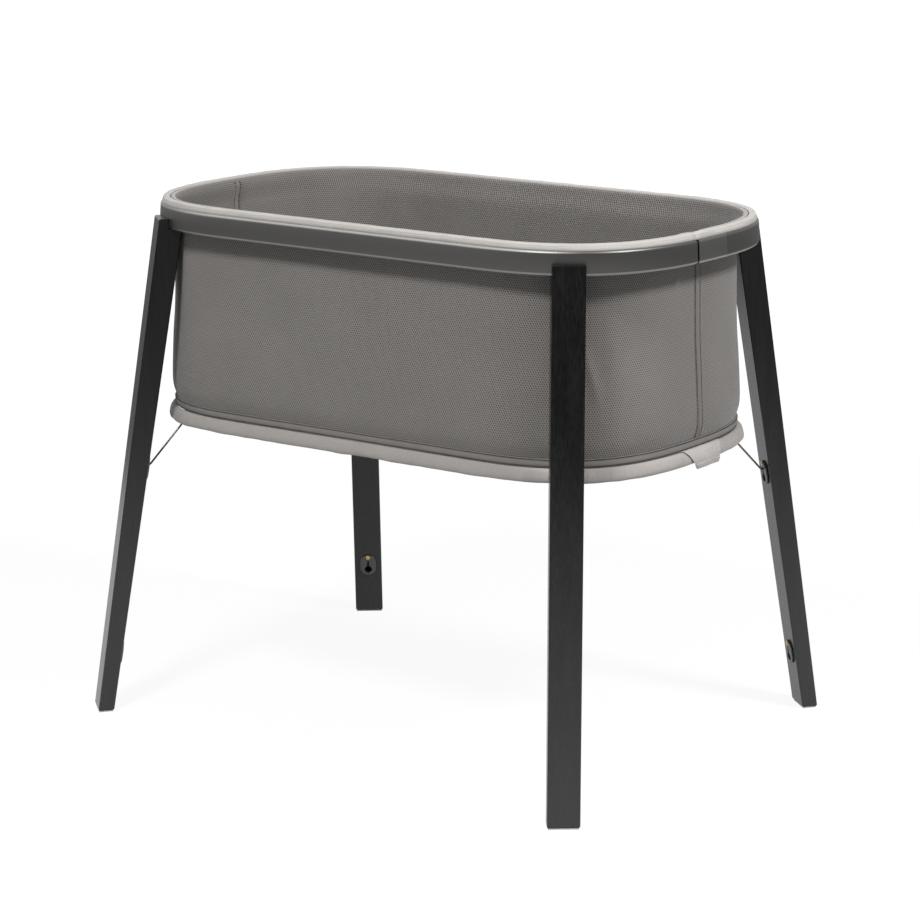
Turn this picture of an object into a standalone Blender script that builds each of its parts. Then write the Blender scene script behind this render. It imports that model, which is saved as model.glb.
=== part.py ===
# Bassinet on four splayed legs: an oval rim, a hung mesh basket, a firm base and four stay wires.
# Metres, +Z up, floor at z 0. +X runs along the long side, towards the end with the rim's joint.
# The near side is -Y and the far side is +Y.

import math

import bmesh
import bpy
from mathutils import Matrix, Vector

for old in list(bpy.data.objects):
    bpy.data.objects.remove(old)
for old in list(bpy.data.collections):
    bpy.data.collections.remove(old)

MM = 0.001
GAP = 0.3 * MM

# Rim outline: half length, half width, how far the rounded end reaches, and how square the end is.
RIM_HALF_LENGTH = 449.0 * MM
RIM_HALF_WIDTH = 259.3 * MM
END_REACH = 244.2 * MM
END_POWER = 2.69
END_STEPS = 29

# Rim section: an open channel with a lip below and a round shoulder above.
RIM_BOTTOM = 728.4 * MM
RIM_HEIGHT = 33.6 * MM
RIM_WIDTH = 20.8 * MM
RIM_SHEET = 2.5 * MM
RIM_LIP_HEIGHT = 3.0 * MM
RIM_LIP_DEPTH = 2.0 * MM
RIM_SHOULDER = 5.0 * MM

# Rim joint at the +X end, as distances across that end.
COVER_NEAR = -40.0 * MM
COVER_FAR = 30.7 * MM
SEAM_GAP = 4.5 * MM
COVER_GAP = 0.6 * MM
CORE_OVERLAP = 43.0 * MM
CORE_CLEAR = 1.9 * MM
END_SQUARE = 2.0 * MM

# Fabric over the rim: a smooth hem strip outside and the rolled top of the mesh wall inside it.
HEM_RISE = 8.0 * MM
HEM_OUTER = 2.8 * MM
HEM_SEAM = 15.5 * MM
WALL_THICK = 2.9 * MM
WALL_CLEAR = 5.1 * MM

# Legs: how they seat on the rim, how they lean, and their section.
SEAT_ANGLE = math.radians(57.51)
LIP_OUT = 9.79 * MM
LIP_HEIGHT = 15.3 * MM
LEAN_PER_HEIGHT = 0.1555
LEAN_ANGLE = math.radians(33.0)
FACE_ANGLE = math.radians(38.8)
LEG_WIDTH = 45.2 * MM
LEG_TAPER = 0.01734
LEG_SHOULDER = 5.5 * MM
LEG_EDGE = 1.8 * MM
PAD_HEIGHT = 2.0 * MM
PAD_MARGIN = 1.6 * MM
PAD_CORNER = 2.0 * MM

# Clamp brackets between the rim and the legs, each with one bolt.
BRACKET_SHEET = 1.5 * MM
BRACKET_CLEAR = 2.1 * MM
BRACKET_HALF = 7.5 * MM
BRACKET_TAIL = 20.4 * MM
BRACKET_REACH = 14.5 * MM
BOLT_EDGE = 8.0 * MM
BOLT_RADIUS = 2.0 * MM
BOLT_HEAD = 3.5 * MM
BOLT_HEAD_HEIGHT = 2.5 * MM
BOLT_LENGTH = 15.0 * MM

# Keyhole plates on the legs' inner faces, measured up the face from the plate's lower end.
PLATE_WIDTH = 26.0 * MM
PLATE_THICK = 2.5 * MM
PLATE_CHAMFER = 0.6 * MM
PLATE_LOW = 67.6 * MM
PLATE_HIGH = 350.2 * MM
HOLE_EDGE = 4.15 * MM
BALL_TRAVEL = 13.9 * MM
SLOT_CLEAR = 0.3 * MM
SCREW_WALL = 0.7 * MM
SCREW_EDGE = 4.3 * MM
SCREW_HEAD = 3.25 * MM
SCREW_HEAD_HEIGHT = 1.2 * MM
SCREW_SHANK = 1.5 * MM
SCREW_LENGTH = 11.0 * MM
POCKET_DEPTH = 14.0 * MM

# Stay wires, from a ball in the upper keyhole to an anchor under the base.
WIRE_RADIUS = 1.5 * MM
BALL_RADIUS = 4.5 * MM
BALL_CLEAR = 1.0 * MM
BALL_MOUTH = 1.65 * MM
STEM_END = 5.0 * MM
WIRE_START = 1.8 * MM
ANCHOR_ANGLE = math.radians(52.25)
ANCHOR_INSET = 13.5 * MM
ANCHOR_BELOW = 5.5 * MM
ANCHOR_LENGTH = 8.0 * MM
ANCHOR_WIDTH = 12.0 * MM
ANCHOR_GRIP = 0.5 * MM

# Basket base: the hoop sets the height and the size of all that hangs round it or lies on it.
HOOP_RADIUS = 6.5 * MM
HOOP_INSET = 20.0 * MM
HOOP_HEIGHT = 445.5 * MM
BOARD_EDGE = 3.6 * MM
BOARD_THICK = 4.2 * MM
BINDING_HEIGHT = 10.7 * MM
BINDING_THICK = 1.6 * MM
SKIRT_THICK = 1.5 * MM
SKIRT_DROP = 8.5 * MM
MATTRESS_INSET = 34.0 * MM
MATTRESS_THICK = 35.0 * MM
MATTRESS_EDGE = 9.0 * MM
MATTRESS_CROWN = 4.0 * MM
SEAM_HALF_WIDTH = 4.0 * MM
SEAM_THICK = 0.8 * MM

# Pull tab at the joint end, hung from the binding over the skirt.
TAB_THICK = 1.2 * MM
TAB_NEAR_TOP = -40.0 * MM
TAB_NEAR_FOOT = -21.0 * MM
TAB_FAR_TOP = 60.0 * MM
TAB_FAR_FOOT = 36.3 * MM
TAB_DROP = 10.9 * MM

# What follows from these.
rim_top = RIM_BOTTOM + RIM_HEIGHT
leg_top = RIM_BOTTOM + LIP_HEIGHT
leg_foot = PAD_HEIGHT + GAP
hole_radius = BALL_RADIUS + BALL_MOUTH
pocket_radius = BALL_RADIUS + BALL_CLEAR
slot_half = WIRE_RADIUS + SLOT_CLEAR
hole_centre = HOLE_EDGE + hole_radius
ball_rest = hole_centre + BALL_TRAVEL
screw_centre = ball_rest + pocket_radius + SCREW_WALL + GAP + SCREW_SHANK
plate_height = screw_centre + SCREW_EDGE
base_top = HOOP_HEIGHT + HOOP_RADIUS
board_low = base_top + GAP
binding_low = board_low + BOARD_THICK + 1.0 * MM
binding_high = binding_low + BINDING_HEIGHT
bracket_low = RIM_BOTTOM - BRACKET_TAIL
bolt_height = bracket_low + BOLT_EDGE

CORNERS = {
    "near_joint": (1, -1),
    "near_plain": (-1, -1),
    "far_joint": (1, 1),
    "far_plain": (-1, 1),
}

parts = bpy.data.collections.new("bassinet")
cutters = bpy.data.collections.new("cutters")
bpy.context.scene.collection.children.link(parts)
bpy.context.scene.collection.children.link(cutters)
cutters.hide_render = True


# Materials and helpers.

def material(name, colour, metal=0.0, rough=0.6):
    made = bpy.data.materials.new(name)
    made.use_nodes = True
    shader = made.node_tree.nodes["Principled BSDF"]
    shader.inputs["Base Color"].default_value = (*colour, 1.0)
    shader.inputs["Metallic"].default_value = metal
    shader.inputs["Roughness"].default_value = rough
    made.diffuse_color = (*colour, 1.0)
    return made


def add_part(name, data, colour, metal=0.0, rough=0.6):
    node = bpy.data.objects.new(name, data)
    parts.objects.link(node)
    data.materials.append(material(name + "_material", colour, metal, rough))
    return node


def add_cutter(name, data):
    cutter = bpy.data.objects.new(name, data)
    cutters.objects.link(cutter)
    cutter.hide_render = True
    cutter.display_type = "WIRE"
    return cutter


def cut(node, cutter):
    step = node.modifiers.new("cut_" + cutter.name, "BOOLEAN")
    step.operation = "DIFFERENCE"
    step.solver = "EXACT"
    step.object = cutter


def outline_point(angle, inset=0.0, z=0.0):
    """A point of the rim's outline moved inwards. The angle is that of the outline's own normal."""
    power = END_POWER / (END_POWER - 1)
    c = math.cos(angle)
    s = math.sin(angle)
    size = ((END_REACH * abs(c)) ** power + (RIM_HALF_WIDTH * abs(s)) ** power) ** (1 / power)
    x = END_REACH**power * abs(c) ** (power - 1) / size ** (power - 1)
    y = RIM_HALF_WIDTH**power * abs(s) ** (power - 1) / size ** (power - 1)
    x = math.copysign(RIM_HALF_LENGTH - END_REACH + x, c)
    return Vector((x - inset * c, math.copysign(y, s) - inset * s, z))


def end_angles(first, last):
    return [first + (last - first) * i / END_STEPS for i in range(END_STEPS + 1)]


def ring_angles():
    quarter = math.pi / 2 - 1e-6
    return end_angles(-quarter, quarter) + end_angles(math.pi - quarter, math.pi + quarter)


def angle_at(y):
    """The outline's normal angle where the +X end crosses this distance from the long axis."""
    low = -math.pi / 2 + 1e-6
    high = math.pi / 2 - 1e-6
    for _ in range(50):
        middle = (low + high) / 2
        if outline_point(middle).y < y:
            low = middle
        else:
            high = middle
    return low


def flat_curve(name, loops):
    """A 2D curve of closed straight-sided loops."""
    curve = bpy.data.curves.new(name, "CURVE")
    curve.dimensions = "2D"
    curve.fill_mode = "BOTH"
    for loop in loops:
        spline = curve.splines.new("POLY")
        spline.points.add(len(loop) - 1)
        for point, (x, y) in zip(spline.points, loop):
            point.co = (x, y, 0.0, 1.0)
        spline.use_cyclic_u = True
    return curve


def section(name, points):
    """A section as (inset from the outline, height) points, laid out for a sweep."""
    area = 0.0
    for (x0, y0), (x1, y1) in zip(points, points[1:] + points[:1]):
        area += y0 * x1 - y1 * x0
    loop = [(-x, y) for x, y in (points if area < 0 else points[::-1])]
    curve = flat_curve(name + "_section", [loop])
    holder = add_cutter(name + "_section", curve)
    return holder


def sweep(name, points, angles, closed):
    """The curve that carries a section along the rim's outline."""
    path = bpy.data.curves.new(name, "CURVE")
    path.dimensions = "3D"
    path.twist_mode = "Z_UP"
    spline = path.splines.new("POLY")
    spline.points.add(len(angles) - 1)
    for point, angle in zip(spline.points, angles):
        point.co = (*outline_point(angle), 1.0)
    spline.use_cyclic_u = closed
    path.bevel_mode = "OBJECT"
    path.bevel_object = section(name, points)
    path.use_fill_caps = True
    return path


def arc(cx, cy, radius, first, last, steps):
    turn = [math.radians(first + (last - first) * i / steps) for i in range(steps + 1)]
    return [(cx + radius * math.cos(a), cy + radius * math.sin(a)) for a in turn]


def mesh_of(name, build):
    data = bpy.data.meshes.new(name)
    shape = bmesh.new()
    build(shape)
    bmesh.ops.recalc_face_normals(shape, faces=shape.faces)
    shape.to_mesh(data)
    shape.free()
    return data


def lathe(node, steps=12):
    turn = node.modifiers.new("turn", "SCREW")
    turn.axis = "Z"
    turn.steps = steps
    turn.render_steps = steps
    turn.use_merge_vertices = True
    turn.merge_threshold = 0.00001
    return node


def half_section(name, points):
    """An open edge loop at +X for the lathe, from top to bottom, in metres."""
    data = bpy.data.meshes.new(name)
    shape = bmesh.new()
    made = [shape.verts.new((x, 0.0, z)) for x, z in points]
    for first, second in zip(made, made[1:]):
        shape.edges.new((first, second))
    shape.to_mesh(data)
    shape.free()
    return data


def rod(shape, start, end, radius, sides=12):
    """A closed cylinder between two points."""
    along = end - start
    turn = along.to_track_quat("Z", "Y").to_matrix().to_4x4()
    place = Matrix.Translation((start + end) / 2) @ turn
    bmesh.ops.create_cone(
        shape,
        cap_ends=True,
        segments=sides,
        radius1=radius,
        radius2=radius,
        depth=along.length,
        matrix=place,
    )


# The legs' own frame.

def face_normal(corner):
    sx, sy = corner
    return Vector((sx * math.sin(FACE_ANGLE), sy * math.cos(FACE_ANGLE), 0.0))


def face_across(corner):
    sx, sy = corner
    return Vector((sx * math.cos(FACE_ANGLE), -sy * math.sin(FACE_ANGLE), 0.0))


def outer_face(corner, z):
    """The centre line of a leg's outer face. The lip stands off the rim by LIP_OUT."""
    sx, sy = corner
    lean = LEAN_PER_HEIGHT * (leg_top - z)
    lip = outline_point(SEAT_ANGLE, -LIP_OUT)
    x = lip.x + lean * math.sin(LEAN_ANGLE)
    y = lip.y + lean * math.cos(LEAN_ANGLE)
    return Vector((sx * x, sy * y, z))


def seat_depth():
    """The leg's depth at the rim's lower edge: lip, rim channel, clearance and bracket."""
    lip = LIP_OUT + LEAN_PER_HEIGHT * LIP_HEIGHT * math.cos(FACE_ANGLE - LEAN_ANGLE)
    return lip + RIM_WIDTH + BRACKET_CLEAR + BRACKET_SHEET


def leg_depth(z):
    return seat_depth() - LEG_TAPER * (RIM_BOTTOM - z)


def inner_face(corner, z):
    return outer_face(corner, z) - face_normal(corner) * leg_depth(z)


def inner_frame(corner, z):
    """A frame on the inner face: +Y up the face and +Z out of it, towards the basket."""
    origin = inner_face(corner, z)
    up = (inner_face(corner, z + 0.1) - origin).normalized()
    out = face_across(corner).cross(up).normalized()
    if out.dot(face_normal(corner)) > 0:
        out = -out
    across = up.cross(out)
    frame = Matrix((across, up, out)).transposed().to_4x4()
    return Matrix.Translation(origin) @ frame


# Rim: an open strip bent round, with a cover and an inner core over its ends.
shoulder = arc(RIM_SHOULDER, rim_top - RIM_SHOULDER, RIM_SHOULDER, 180.0, 90.0, 3)
RIM_SECTION = [
    (RIM_LIP_DEPTH, RIM_BOTTOM),
    (0.0, RIM_BOTTOM + RIM_LIP_HEIGHT),
    *shoulder,
    (RIM_WIDTH, rim_top),
    (RIM_WIDTH, rim_top - RIM_SHEET),
    (RIM_SHEET, rim_top - RIM_SHEET),
    (RIM_SHEET, RIM_BOTTOM + RIM_SHEET),
    (RIM_WIDTH, RIM_BOTTOM + RIM_SHEET),
    (RIM_WIDTH, RIM_BOTTOM),
]
strip_near = COVER_NEAR - SEAM_GAP
strip_far = COVER_FAR + COVER_GAP
strip_start = angle_at(strip_far)
strip_end = angle_at(strip_near)
quarter = math.pi / 2 - 1e-6
apart = math.radians(1.7)
strip = [strip_start, angle_at(strip_far + END_SQUARE)]
strip += [a for a in end_angles(-quarter, quarter) if a > strip_start + apart]
strip += end_angles(math.pi - quarter, math.pi + quarter)
strip += [a + 2 * math.pi for a in end_angles(-quarter, quarter) if a < strip_end - apart]
strip += [angle_at(strip_near - END_SQUARE) + 2 * math.pi, strip_end + 2 * math.pi]
add_part("rim_band", sweep("rim_band", RIM_SECTION, strip, False), (0.07, 0.07, 0.075), 0.6, 0.4)

cover_from = COVER_NEAR + END_SQUARE
cover_to = COVER_FAR - END_SQUARE
cover = [angle_at(COVER_NEAR)]
cover += [angle_at(cover_from + (cover_to - cover_from) * i / 3) for i in range(4)]
cover += [angle_at(COVER_FAR)]
add_part(
    "rim_joint_cover",
    sweep("rim_joint_cover", RIM_SECTION, cover, False),
    (0.09, 0.09, 0.095),
    0.6,
    0.4,
)

core_low = RIM_BOTTOM + RIM_SHEET + CORE_CLEAR / 2
core_high = rim_top - RIM_SHEET - CORE_CLEAR / 2
CORE_SECTION = [
    (RIM_SHEET + CORE_CLEAR, core_low),
    (RIM_SHEET + CORE_CLEAR, core_high),
    (RIM_WIDTH - CORE_CLEAR, core_high),
    (RIM_WIDTH - CORE_CLEAR, core_low),
]
core_near = strip_near - CORE_OVERLAP
core_far = strip_far + CORE_OVERLAP
core = [angle_at(core_near + (core_far - core_near) * i / 6) for i in range(7)]
add_part("rim_joint_core", sweep("rim_joint_core", CORE_SECTION, core, False), (0.01, 0.01, 0.01))

# Hem: a smooth strip that lies on the rim, from just inside its shoulder to the seam with the mesh.
hem_base = rim_top + GAP
hem_middle = (HEM_OUTER + HEM_SEAM) / 2
HEM_SECTION = [
    (HEM_OUTER, hem_base),
    (HEM_OUTER, rim_top + HEM_RISE * 0.45),
    (HEM_OUTER + 1.4 * MM, rim_top + HEM_RISE * 0.78),
    (HEM_OUTER + 3.7 * MM, rim_top + HEM_RISE * 0.95),
    (hem_middle, rim_top + HEM_RISE),
    (HEM_SEAM - 2.2 * MM, rim_top + HEM_RISE * 0.93),
    (HEM_SEAM - GAP, rim_top + HEM_RISE * 0.75),
    (HEM_SEAM - GAP, hem_base),
]
add_part("top_hem", sweep("top_hem", HEM_SECTION, ring_angles(), True), (0.55, 0.53, 0.51))

# Mesh wall: it rolls over the rim's inner edge, hangs down and is drawn in at the foot.
wall_inset = RIM_WIDTH + WALL_CLEAR
wall_foot = HOOP_INSET + 3.2 * MM


def wall_height(share):
    """A height between the hoop and the rim's lower edge."""
    return HOOP_HEIGHT + (RIM_BOTTOM - HOOP_HEIGHT) * share


WALL_SIDE = [
    (wall_inset, wall_height(1.016)),
    (wall_inset + 0.4 * MM, wall_height(0.928)),
    (wall_inset - 0.9 * MM, wall_height(0.581)),
    (HOOP_INSET + 1.5 * MM, wall_height(0.405)),
    (HOOP_INSET - 1.6 * MM, wall_height(0.193)),
    (HOOP_INSET - 0.4 * MM, wall_height(0.115)),
]
wall_pinch = binding_high + 1.2 * MM
roll_top = rim_top + HEM_RISE
WALL_SECTION = [
    (HEM_SEAM + GAP, hem_base),
    (HEM_SEAM + GAP, roll_top - 2.0 * MM),
    (HEM_SEAM + 1.7 * MM, roll_top - 0.7 * MM),
    (HEM_SEAM + 4.0 * MM, roll_top - 0.7 * MM),
    (HEM_SEAM + 6.5 * MM, roll_top - 1.8 * MM),
    (HEM_SEAM + 9.3 * MM, roll_top - 4.5 * MM),
    (HEM_SEAM + 11.1 * MM, roll_top - 9.0 * MM),
    *((inset + WALL_THICK, height) for inset, height in WALL_SIDE),
    (HOOP_INSET + 3.0 * MM + WALL_THICK, wall_pinch),
    (wall_foot + WALL_THICK, binding_low + 1.0 * MM),
    (wall_foot, binding_low + 1.0 * MM),
    (HOOP_INSET + 2.8 * MM, wall_pinch),
    *WALL_SIDE[::-1],
    (RIM_WIDTH + 1.8 * MM, rim_top - 10.0 * MM),
    (RIM_WIDTH + 1.0 * MM, hem_base),
]
add_part("basket_wall", sweep("basket_wall", WALL_SECTION, ring_angles(), True), (0.32, 0.31, 0.3))

# Binding: a tape sewn round the foot of the wall with two rows of stitches.
binding_face = wall_foot - GAP - BINDING_THICK
BINDING_SECTION = [
    (binding_face - 0.4 * MM, binding_high),
    (binding_face - 0.7 * MM, binding_high - 2.8 * MM),
    (binding_face - 0.7 * MM, binding_low + 2.4 * MM),
    (binding_face - 0.3 * MM, binding_low),
    (wall_foot - 2 * GAP, binding_low),
    (wall_foot - 3.5 * GAP, binding_high),
]
binding = sweep("bottom_binding", BINDING_SECTION, ring_angles(), True)
add_part("bottom_binding", binding, (0.5, 0.48, 0.46))

# Skirt: it hangs from the binding's lower row of stitches and goes round the hoop.
skirt_top = binding_low - GAP
skirt_gap = HOOP_RADIUS + 0.6 * MM
skirt_bulge = HOOP_INSET - skirt_gap
SKIRT_INSIDE = [
    (HOOP_INSET + 1.4 * MM, skirt_top - SKIRT_THICK),
    (HOOP_INSET - 3.0 * MM, skirt_top - SKIRT_THICK - 1.1 * MM),
    (skirt_bulge + 1.2 * MM, HOOP_HEIGHT + HOOP_RADIUS * 0.88),
    (skirt_bulge, HOOP_HEIGHT + 1.1 * MM),
    (skirt_bulge + 0.2 * MM, HOOP_HEIGHT - 3.7 * MM),
    (skirt_bulge + 1.3 * MM, HOOP_HEIGHT - SKIRT_DROP),
]
SKIRT_OUTSIDE = [
    (skirt_bulge + 1.3 * MM - SKIRT_THICK, HOOP_HEIGHT - SKIRT_DROP),
    (skirt_bulge + 0.2 * MM - SKIRT_THICK, HOOP_HEIGHT - 4.0 * MM),
    (skirt_bulge - SKIRT_THICK, HOOP_HEIGHT + 1.1 * MM),
    (skirt_bulge - 0.1 * MM, HOOP_HEIGHT + HOOP_RADIUS),
    (HOOP_INSET - 3.8 * MM, skirt_top - 1.0 * MM),
    (HOOP_INSET + 1.2 * MM, skirt_top),
]
skirt = sweep("base_skirt", SKIRT_INSIDE + SKIRT_OUTSIDE, ring_angles(), True)
add_part("base_skirt", skirt, (0.6, 0.57, 0.54))

# Base: hoop, board and mattress.
hoop_section = arc(HOOP_INSET, HOOP_HEIGHT, HOOP_RADIUS, 0.0, 315.0, 7)
hoop = sweep("base_hoop", hoop_section, ring_angles(), True)
add_part("base_hoop", hoop, (0.3, 0.3, 0.31), 1.0, 0.35)

board_loop = [outline_point(angle, HOOP_INSET + BOARD_EDGE)[:2] for angle in ring_angles()]
board_curve = flat_curve("base_board", [board_loop])
board_curve.extrude = BOARD_THICK / 2
board = add_part("base_board", board_curve, (0.25, 0.2, 0.15))
board.location.z = board_low + BOARD_THICK / 2

mattress_low = board_low + BOARD_THICK + GAP
mattress_top = mattress_low + MATTRESS_THICK - MATTRESS_CROWN
edge = MATTRESS_EDGE
MATTRESS_RINGS = [
    (MATTRESS_INSET + edge, mattress_low),
    (MATTRESS_INSET + edge * 0.3, mattress_low + edge * 0.3),
    (MATTRESS_INSET, mattress_low + edge),
    (MATTRESS_INSET, mattress_top - edge),
    (MATTRESS_INSET + edge * 0.3, mattress_top - edge * 0.3),
    (MATTRESS_INSET + edge, mattress_top),
    (MATTRESS_INSET + edge * 4.0, mattress_top + MATTRESS_CROWN * 0.65),
    (MATTRESS_INSET + edge * 8.0, mattress_top + MATTRESS_CROWN),
]


def mattress_shape(shape):
    """Rings stacked from the flat underside, over the rounded edge, to the crowned top."""
    rings = []
    for inset, height in MATTRESS_RINGS:
        ring = [outline_point(angle, inset, height) for angle in ring_angles()]
        rings.append([shape.verts.new(point) for point in ring])
    count = len(rings[0])
    for lower, upper in zip(rings, rings[1:]):
        for i in range(count):
            j = (i + 1) % count
            shape.faces.new((lower[i], lower[j], upper[j], upper[i]))
    shape.faces.new(rings[0][::-1])
    shape.faces.new(rings[-1])


add_part("mattress", mesh_of("mattress", mattress_shape), (0.75, 0.73, 0.7))

# Flat-felled seams at the two ends of the wall, as thin tapes on its outside.
seam_line = [(inset - GAP, height) for inset, height in WALL_SIDE[1:]]
seam_top = (wall_inset, wall_height(0.985))
seam_line = [(seam_top[0] - GAP, seam_top[1])] + seam_line
seam_loop = seam_line + [(inset - SEAM_THICK, height) for inset, height in seam_line[::-1]]
for end_name, side in (("joint", 1), ("plain", -1)):
    loop = [(RIM_HALF_LENGTH - inset, height) for inset, height in seam_loop]
    curve = flat_curve("end_seam_" + end_name, [loop])
    curve.extrude = SEAM_HALF_WIDTH
    node = add_part("end_seam_" + end_name, curve, (0.36, 0.35, 0.34))
    node.rotation_euler = (math.pi / 2, 0.0, 0.0 if side > 0 else math.pi)

# Pull tab: a wide strap end sewn in under the binding, hung over the skirt.
tab_inset = skirt_bulge - SKIRT_THICK - 1.8 * MM
TAB_ROWS = [
    (HOOP_INSET + 0.2 * MM, binding_low + 1.0 * MM, 0.0),
    (HOOP_INSET - 5.0 * MM, binding_low + 0.2 * MM, 0.08),
    (tab_inset + 1.6 * MM, HOOP_HEIGHT + HOOP_RADIUS + 2.0 * MM, 0.3),
    (tab_inset, HOOP_HEIGHT + 1.5 * MM, 0.55),
    (tab_inset, HOOP_HEIGHT - TAB_DROP / 2, 0.8),
    (tab_inset + 0.2 * MM, HOOP_HEIGHT - TAB_DROP, 1.0),
]
TAB_COLUMNS = 4


def tab_sheet(shape):
    grid = []
    for inset, height, share in TAB_ROWS:
        near = TAB_NEAR_TOP + (TAB_NEAR_FOOT - TAB_NEAR_TOP) * share
        far = TAB_FAR_TOP + (TAB_FAR_FOOT - TAB_FAR_TOP) * share
        row = []
        for i in range(TAB_COLUMNS + 1):
            angle = angle_at(near + (far - near) * i / TAB_COLUMNS)
            row.append(shape.verts.new(outline_point(angle, inset, height)))
        grid.append(row)
    for upper, lower in zip(grid, grid[1:]):
        for i in range(TAB_COLUMNS):
            shape.faces.new((upper[i], lower[i], lower[i + 1], upper[i + 1]))


tab = add_part("pull_tab", mesh_of("pull_tab", tab_sheet), (0.45, 0.43, 0.41))
thicken = tab.modifiers.new("thicken", "SOLIDIFY")
thicken.thickness = TAB_THICK
thicken.offset = 1.0
thicken.use_even_offset = True

# Cutter for the rim's seat in the legs: all of the space inside the outline, above the rim's edge.
seat_loop = [outline_point(angle, -GAP)[:2] for angle in ring_angles()]
seat_curve = flat_curve("rim_seat_curve", [seat_loop])
seat_height = 60.0 * MM
seat_curve.extrude = seat_height / 2
seat_source = add_cutter("rim_seat_source", seat_curve)
bpy.context.view_layer.update()
seat_mesh = bpy.data.meshes.new_from_object(
    seat_source.evaluated_get(bpy.context.evaluated_depsgraph_get())
)
seat_shape = bmesh.new()
seat_shape.from_mesh(seat_mesh)
bmesh.ops.remove_doubles(seat_shape, verts=seat_shape.verts, dist=0.00001)
bmesh.ops.recalc_face_normals(seat_shape, faces=seat_shape.faces)
seat_shape.to_mesh(seat_mesh)
seat_shape.free()
bpy.data.objects.remove(seat_source)
seat_cutter = add_cutter("rim_seat", seat_mesh)
seat_cutter.location.z = RIM_BOTTOM - GAP + seat_height / 2

# Keyhole plate outline: a rounded plate with a keyhole and a screw hole. The curve's bevel moves
# each edge out by the chamfer, so the loops are drawn that much smaller, and the holes larger.
half_plate = PLATE_WIDTH / 2
plate_radius = half_plate - PLATE_CHAMFER
plate_loop = arc(0.0, plate_height - half_plate, plate_radius, 0.0, 180.0, 8)
plate_loop += arc(0.0, half_plate, plate_radius, 180.0, 360.0, 8)
drawn_slot = slot_half + PLATE_CHAMFER
drawn_hole = hole_radius + PLATE_CHAMFER
mouth = math.degrees(math.acos(drawn_slot / drawn_hole))
keyhole_loop = arc(0.0, hole_centre, drawn_hole, mouth, -180.0 - mouth, 12)
keyhole_loop += arc(0.0, ball_rest, drawn_slot, 180.0, 0.0, 4)
drawn_screw = SCREW_SHANK + GAP + PLATE_CHAMFER
screw_loop = arc(0.0, screw_centre, drawn_screw, 360.0, 36.0, 9)


def leg_shape(corner):
    """A tapered, splayed leg with shoulders cut on its top corners."""

    def build(shape):
        bmesh.ops.create_cube(shape, size=2.0)
        for vert in shape.verts:
            z = leg_top if vert.co.z > 0 else leg_foot
            place = outer_face(corner, z) if vert.co.y > 0 else inner_face(corner, z)
            vert.co = place + face_across(corner) * math.copysign(LEG_WIDTH / 2, vert.co.x)
        shape.edges.ensure_lookup_table()
        top = []
        for edge in shape.edges:
            high = all(vert.co.z > leg_top - MM for vert in edge.verts)
            along = (edge.verts[1].co - edge.verts[0].co).normalized()
            if high and abs(along.dot(face_normal(corner))) > 0.9:
                top.append(edge)
        bmesh.ops.bevel(
            shape, geom=top, offset=LEG_SHOULDER, segments=1, affect="EDGES", profile=0.5
        )

    return build


def pocket_shape(corner):
    """The two keyhole pockets, the plate screws' holes and nothing else, in one cutter."""

    def build(shape):
        for low in (PLATE_LOW, PLATE_HIGH):
            frame = inner_frame(corner, low)
            loop = arc(0.0, ball_rest, pocket_radius, 0.0, 180.0, 6)
            loop += arc(0.0, hole_centre, pocket_radius, 180.0, 360.0, 6)
            near = [shape.verts.new(frame @ Vector((x, y, 2 * MM))) for x, y in loop]
            deep = [shape.verts.new(frame @ Vector((x, y, -POCKET_DEPTH))) for x, y in loop]
            shape.faces.new(near)
            shape.faces.new(deep[::-1])
            for i in range(len(loop)):
                j = (i + 1) % len(loop)
                shape.faces.new((near[j], near[i], deep[i], deep[j]))
            start = frame @ Vector((0.0, screw_centre, 2 * MM))
            end = frame @ Vector((0.0, screw_centre, -SCREW_LENGTH - MM))
            rod(shape, start, end, SCREW_SHANK + GAP, 10)

    return build


def bracket_loop(corner):
    """The bracket's side view, as (distance inwards from the outer face, height)."""
    slope = LEAN_PER_HEIGHT * math.cos(FACE_ANGLE - LEAN_ANGLE) + LEG_TAPER
    face = leg_depth(RIM_BOTTOM)
    low = face - slope * (RIM_BOTTOM - bracket_low)
    sheet = BRACKET_SHEET
    shelf = RIM_BOTTOM + RIM_SHEET + GAP
    return [
        (low - sheet, bracket_low),
        (face - sheet, RIM_BOTTOM),
        (face - sheet, shelf),
        (face - BRACKET_REACH, shelf),
        (face - BRACKET_REACH, shelf + sheet),
        (face, shelf + sheet),
        (face, RIM_BOTTOM),
        (low, bracket_low),
    ]


def recess_loop(corner):
    slope = LEAN_PER_HEIGHT * math.cos(FACE_ANGLE - LEAN_ANGLE) + LEG_TAPER
    face = leg_depth(RIM_BOTTOM)
    bottom = bracket_low - GAP
    low = face - slope * (RIM_BOTTOM - bottom)
    back = BRACKET_SHEET + GAP
    top = RIM_BOTTOM + 10.0 * MM
    return [
        (low - back, bottom),
        (face - back, RIM_BOTTOM),
        (face - back, top),
        (face + 20.0 * MM, top),
        (face + 20.0 * MM, bottom),
    ]


def prism(corner, loop, half):
    """A side view stood up on the leg and given a width across it."""

    def build(shape):
        foot = outer_face(corner, RIM_BOTTOM)
        rows = []
        for side in (-half, half):
            row = []
            for inwards, height in loop:
                point = foot - face_normal(corner) * inwards + face_across(corner) * side
                point.z = height
                row.append(shape.verts.new(point))
            rows.append(row)
        first, second = rows
        shape.faces.new(first)
        shape.faces.new(second[::-1])
        for i in range(len(loop)):
            j = (i + 1) % len(loop)
            shape.faces.new((first[j], first[i], second[i], second[j]))

    return build


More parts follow.
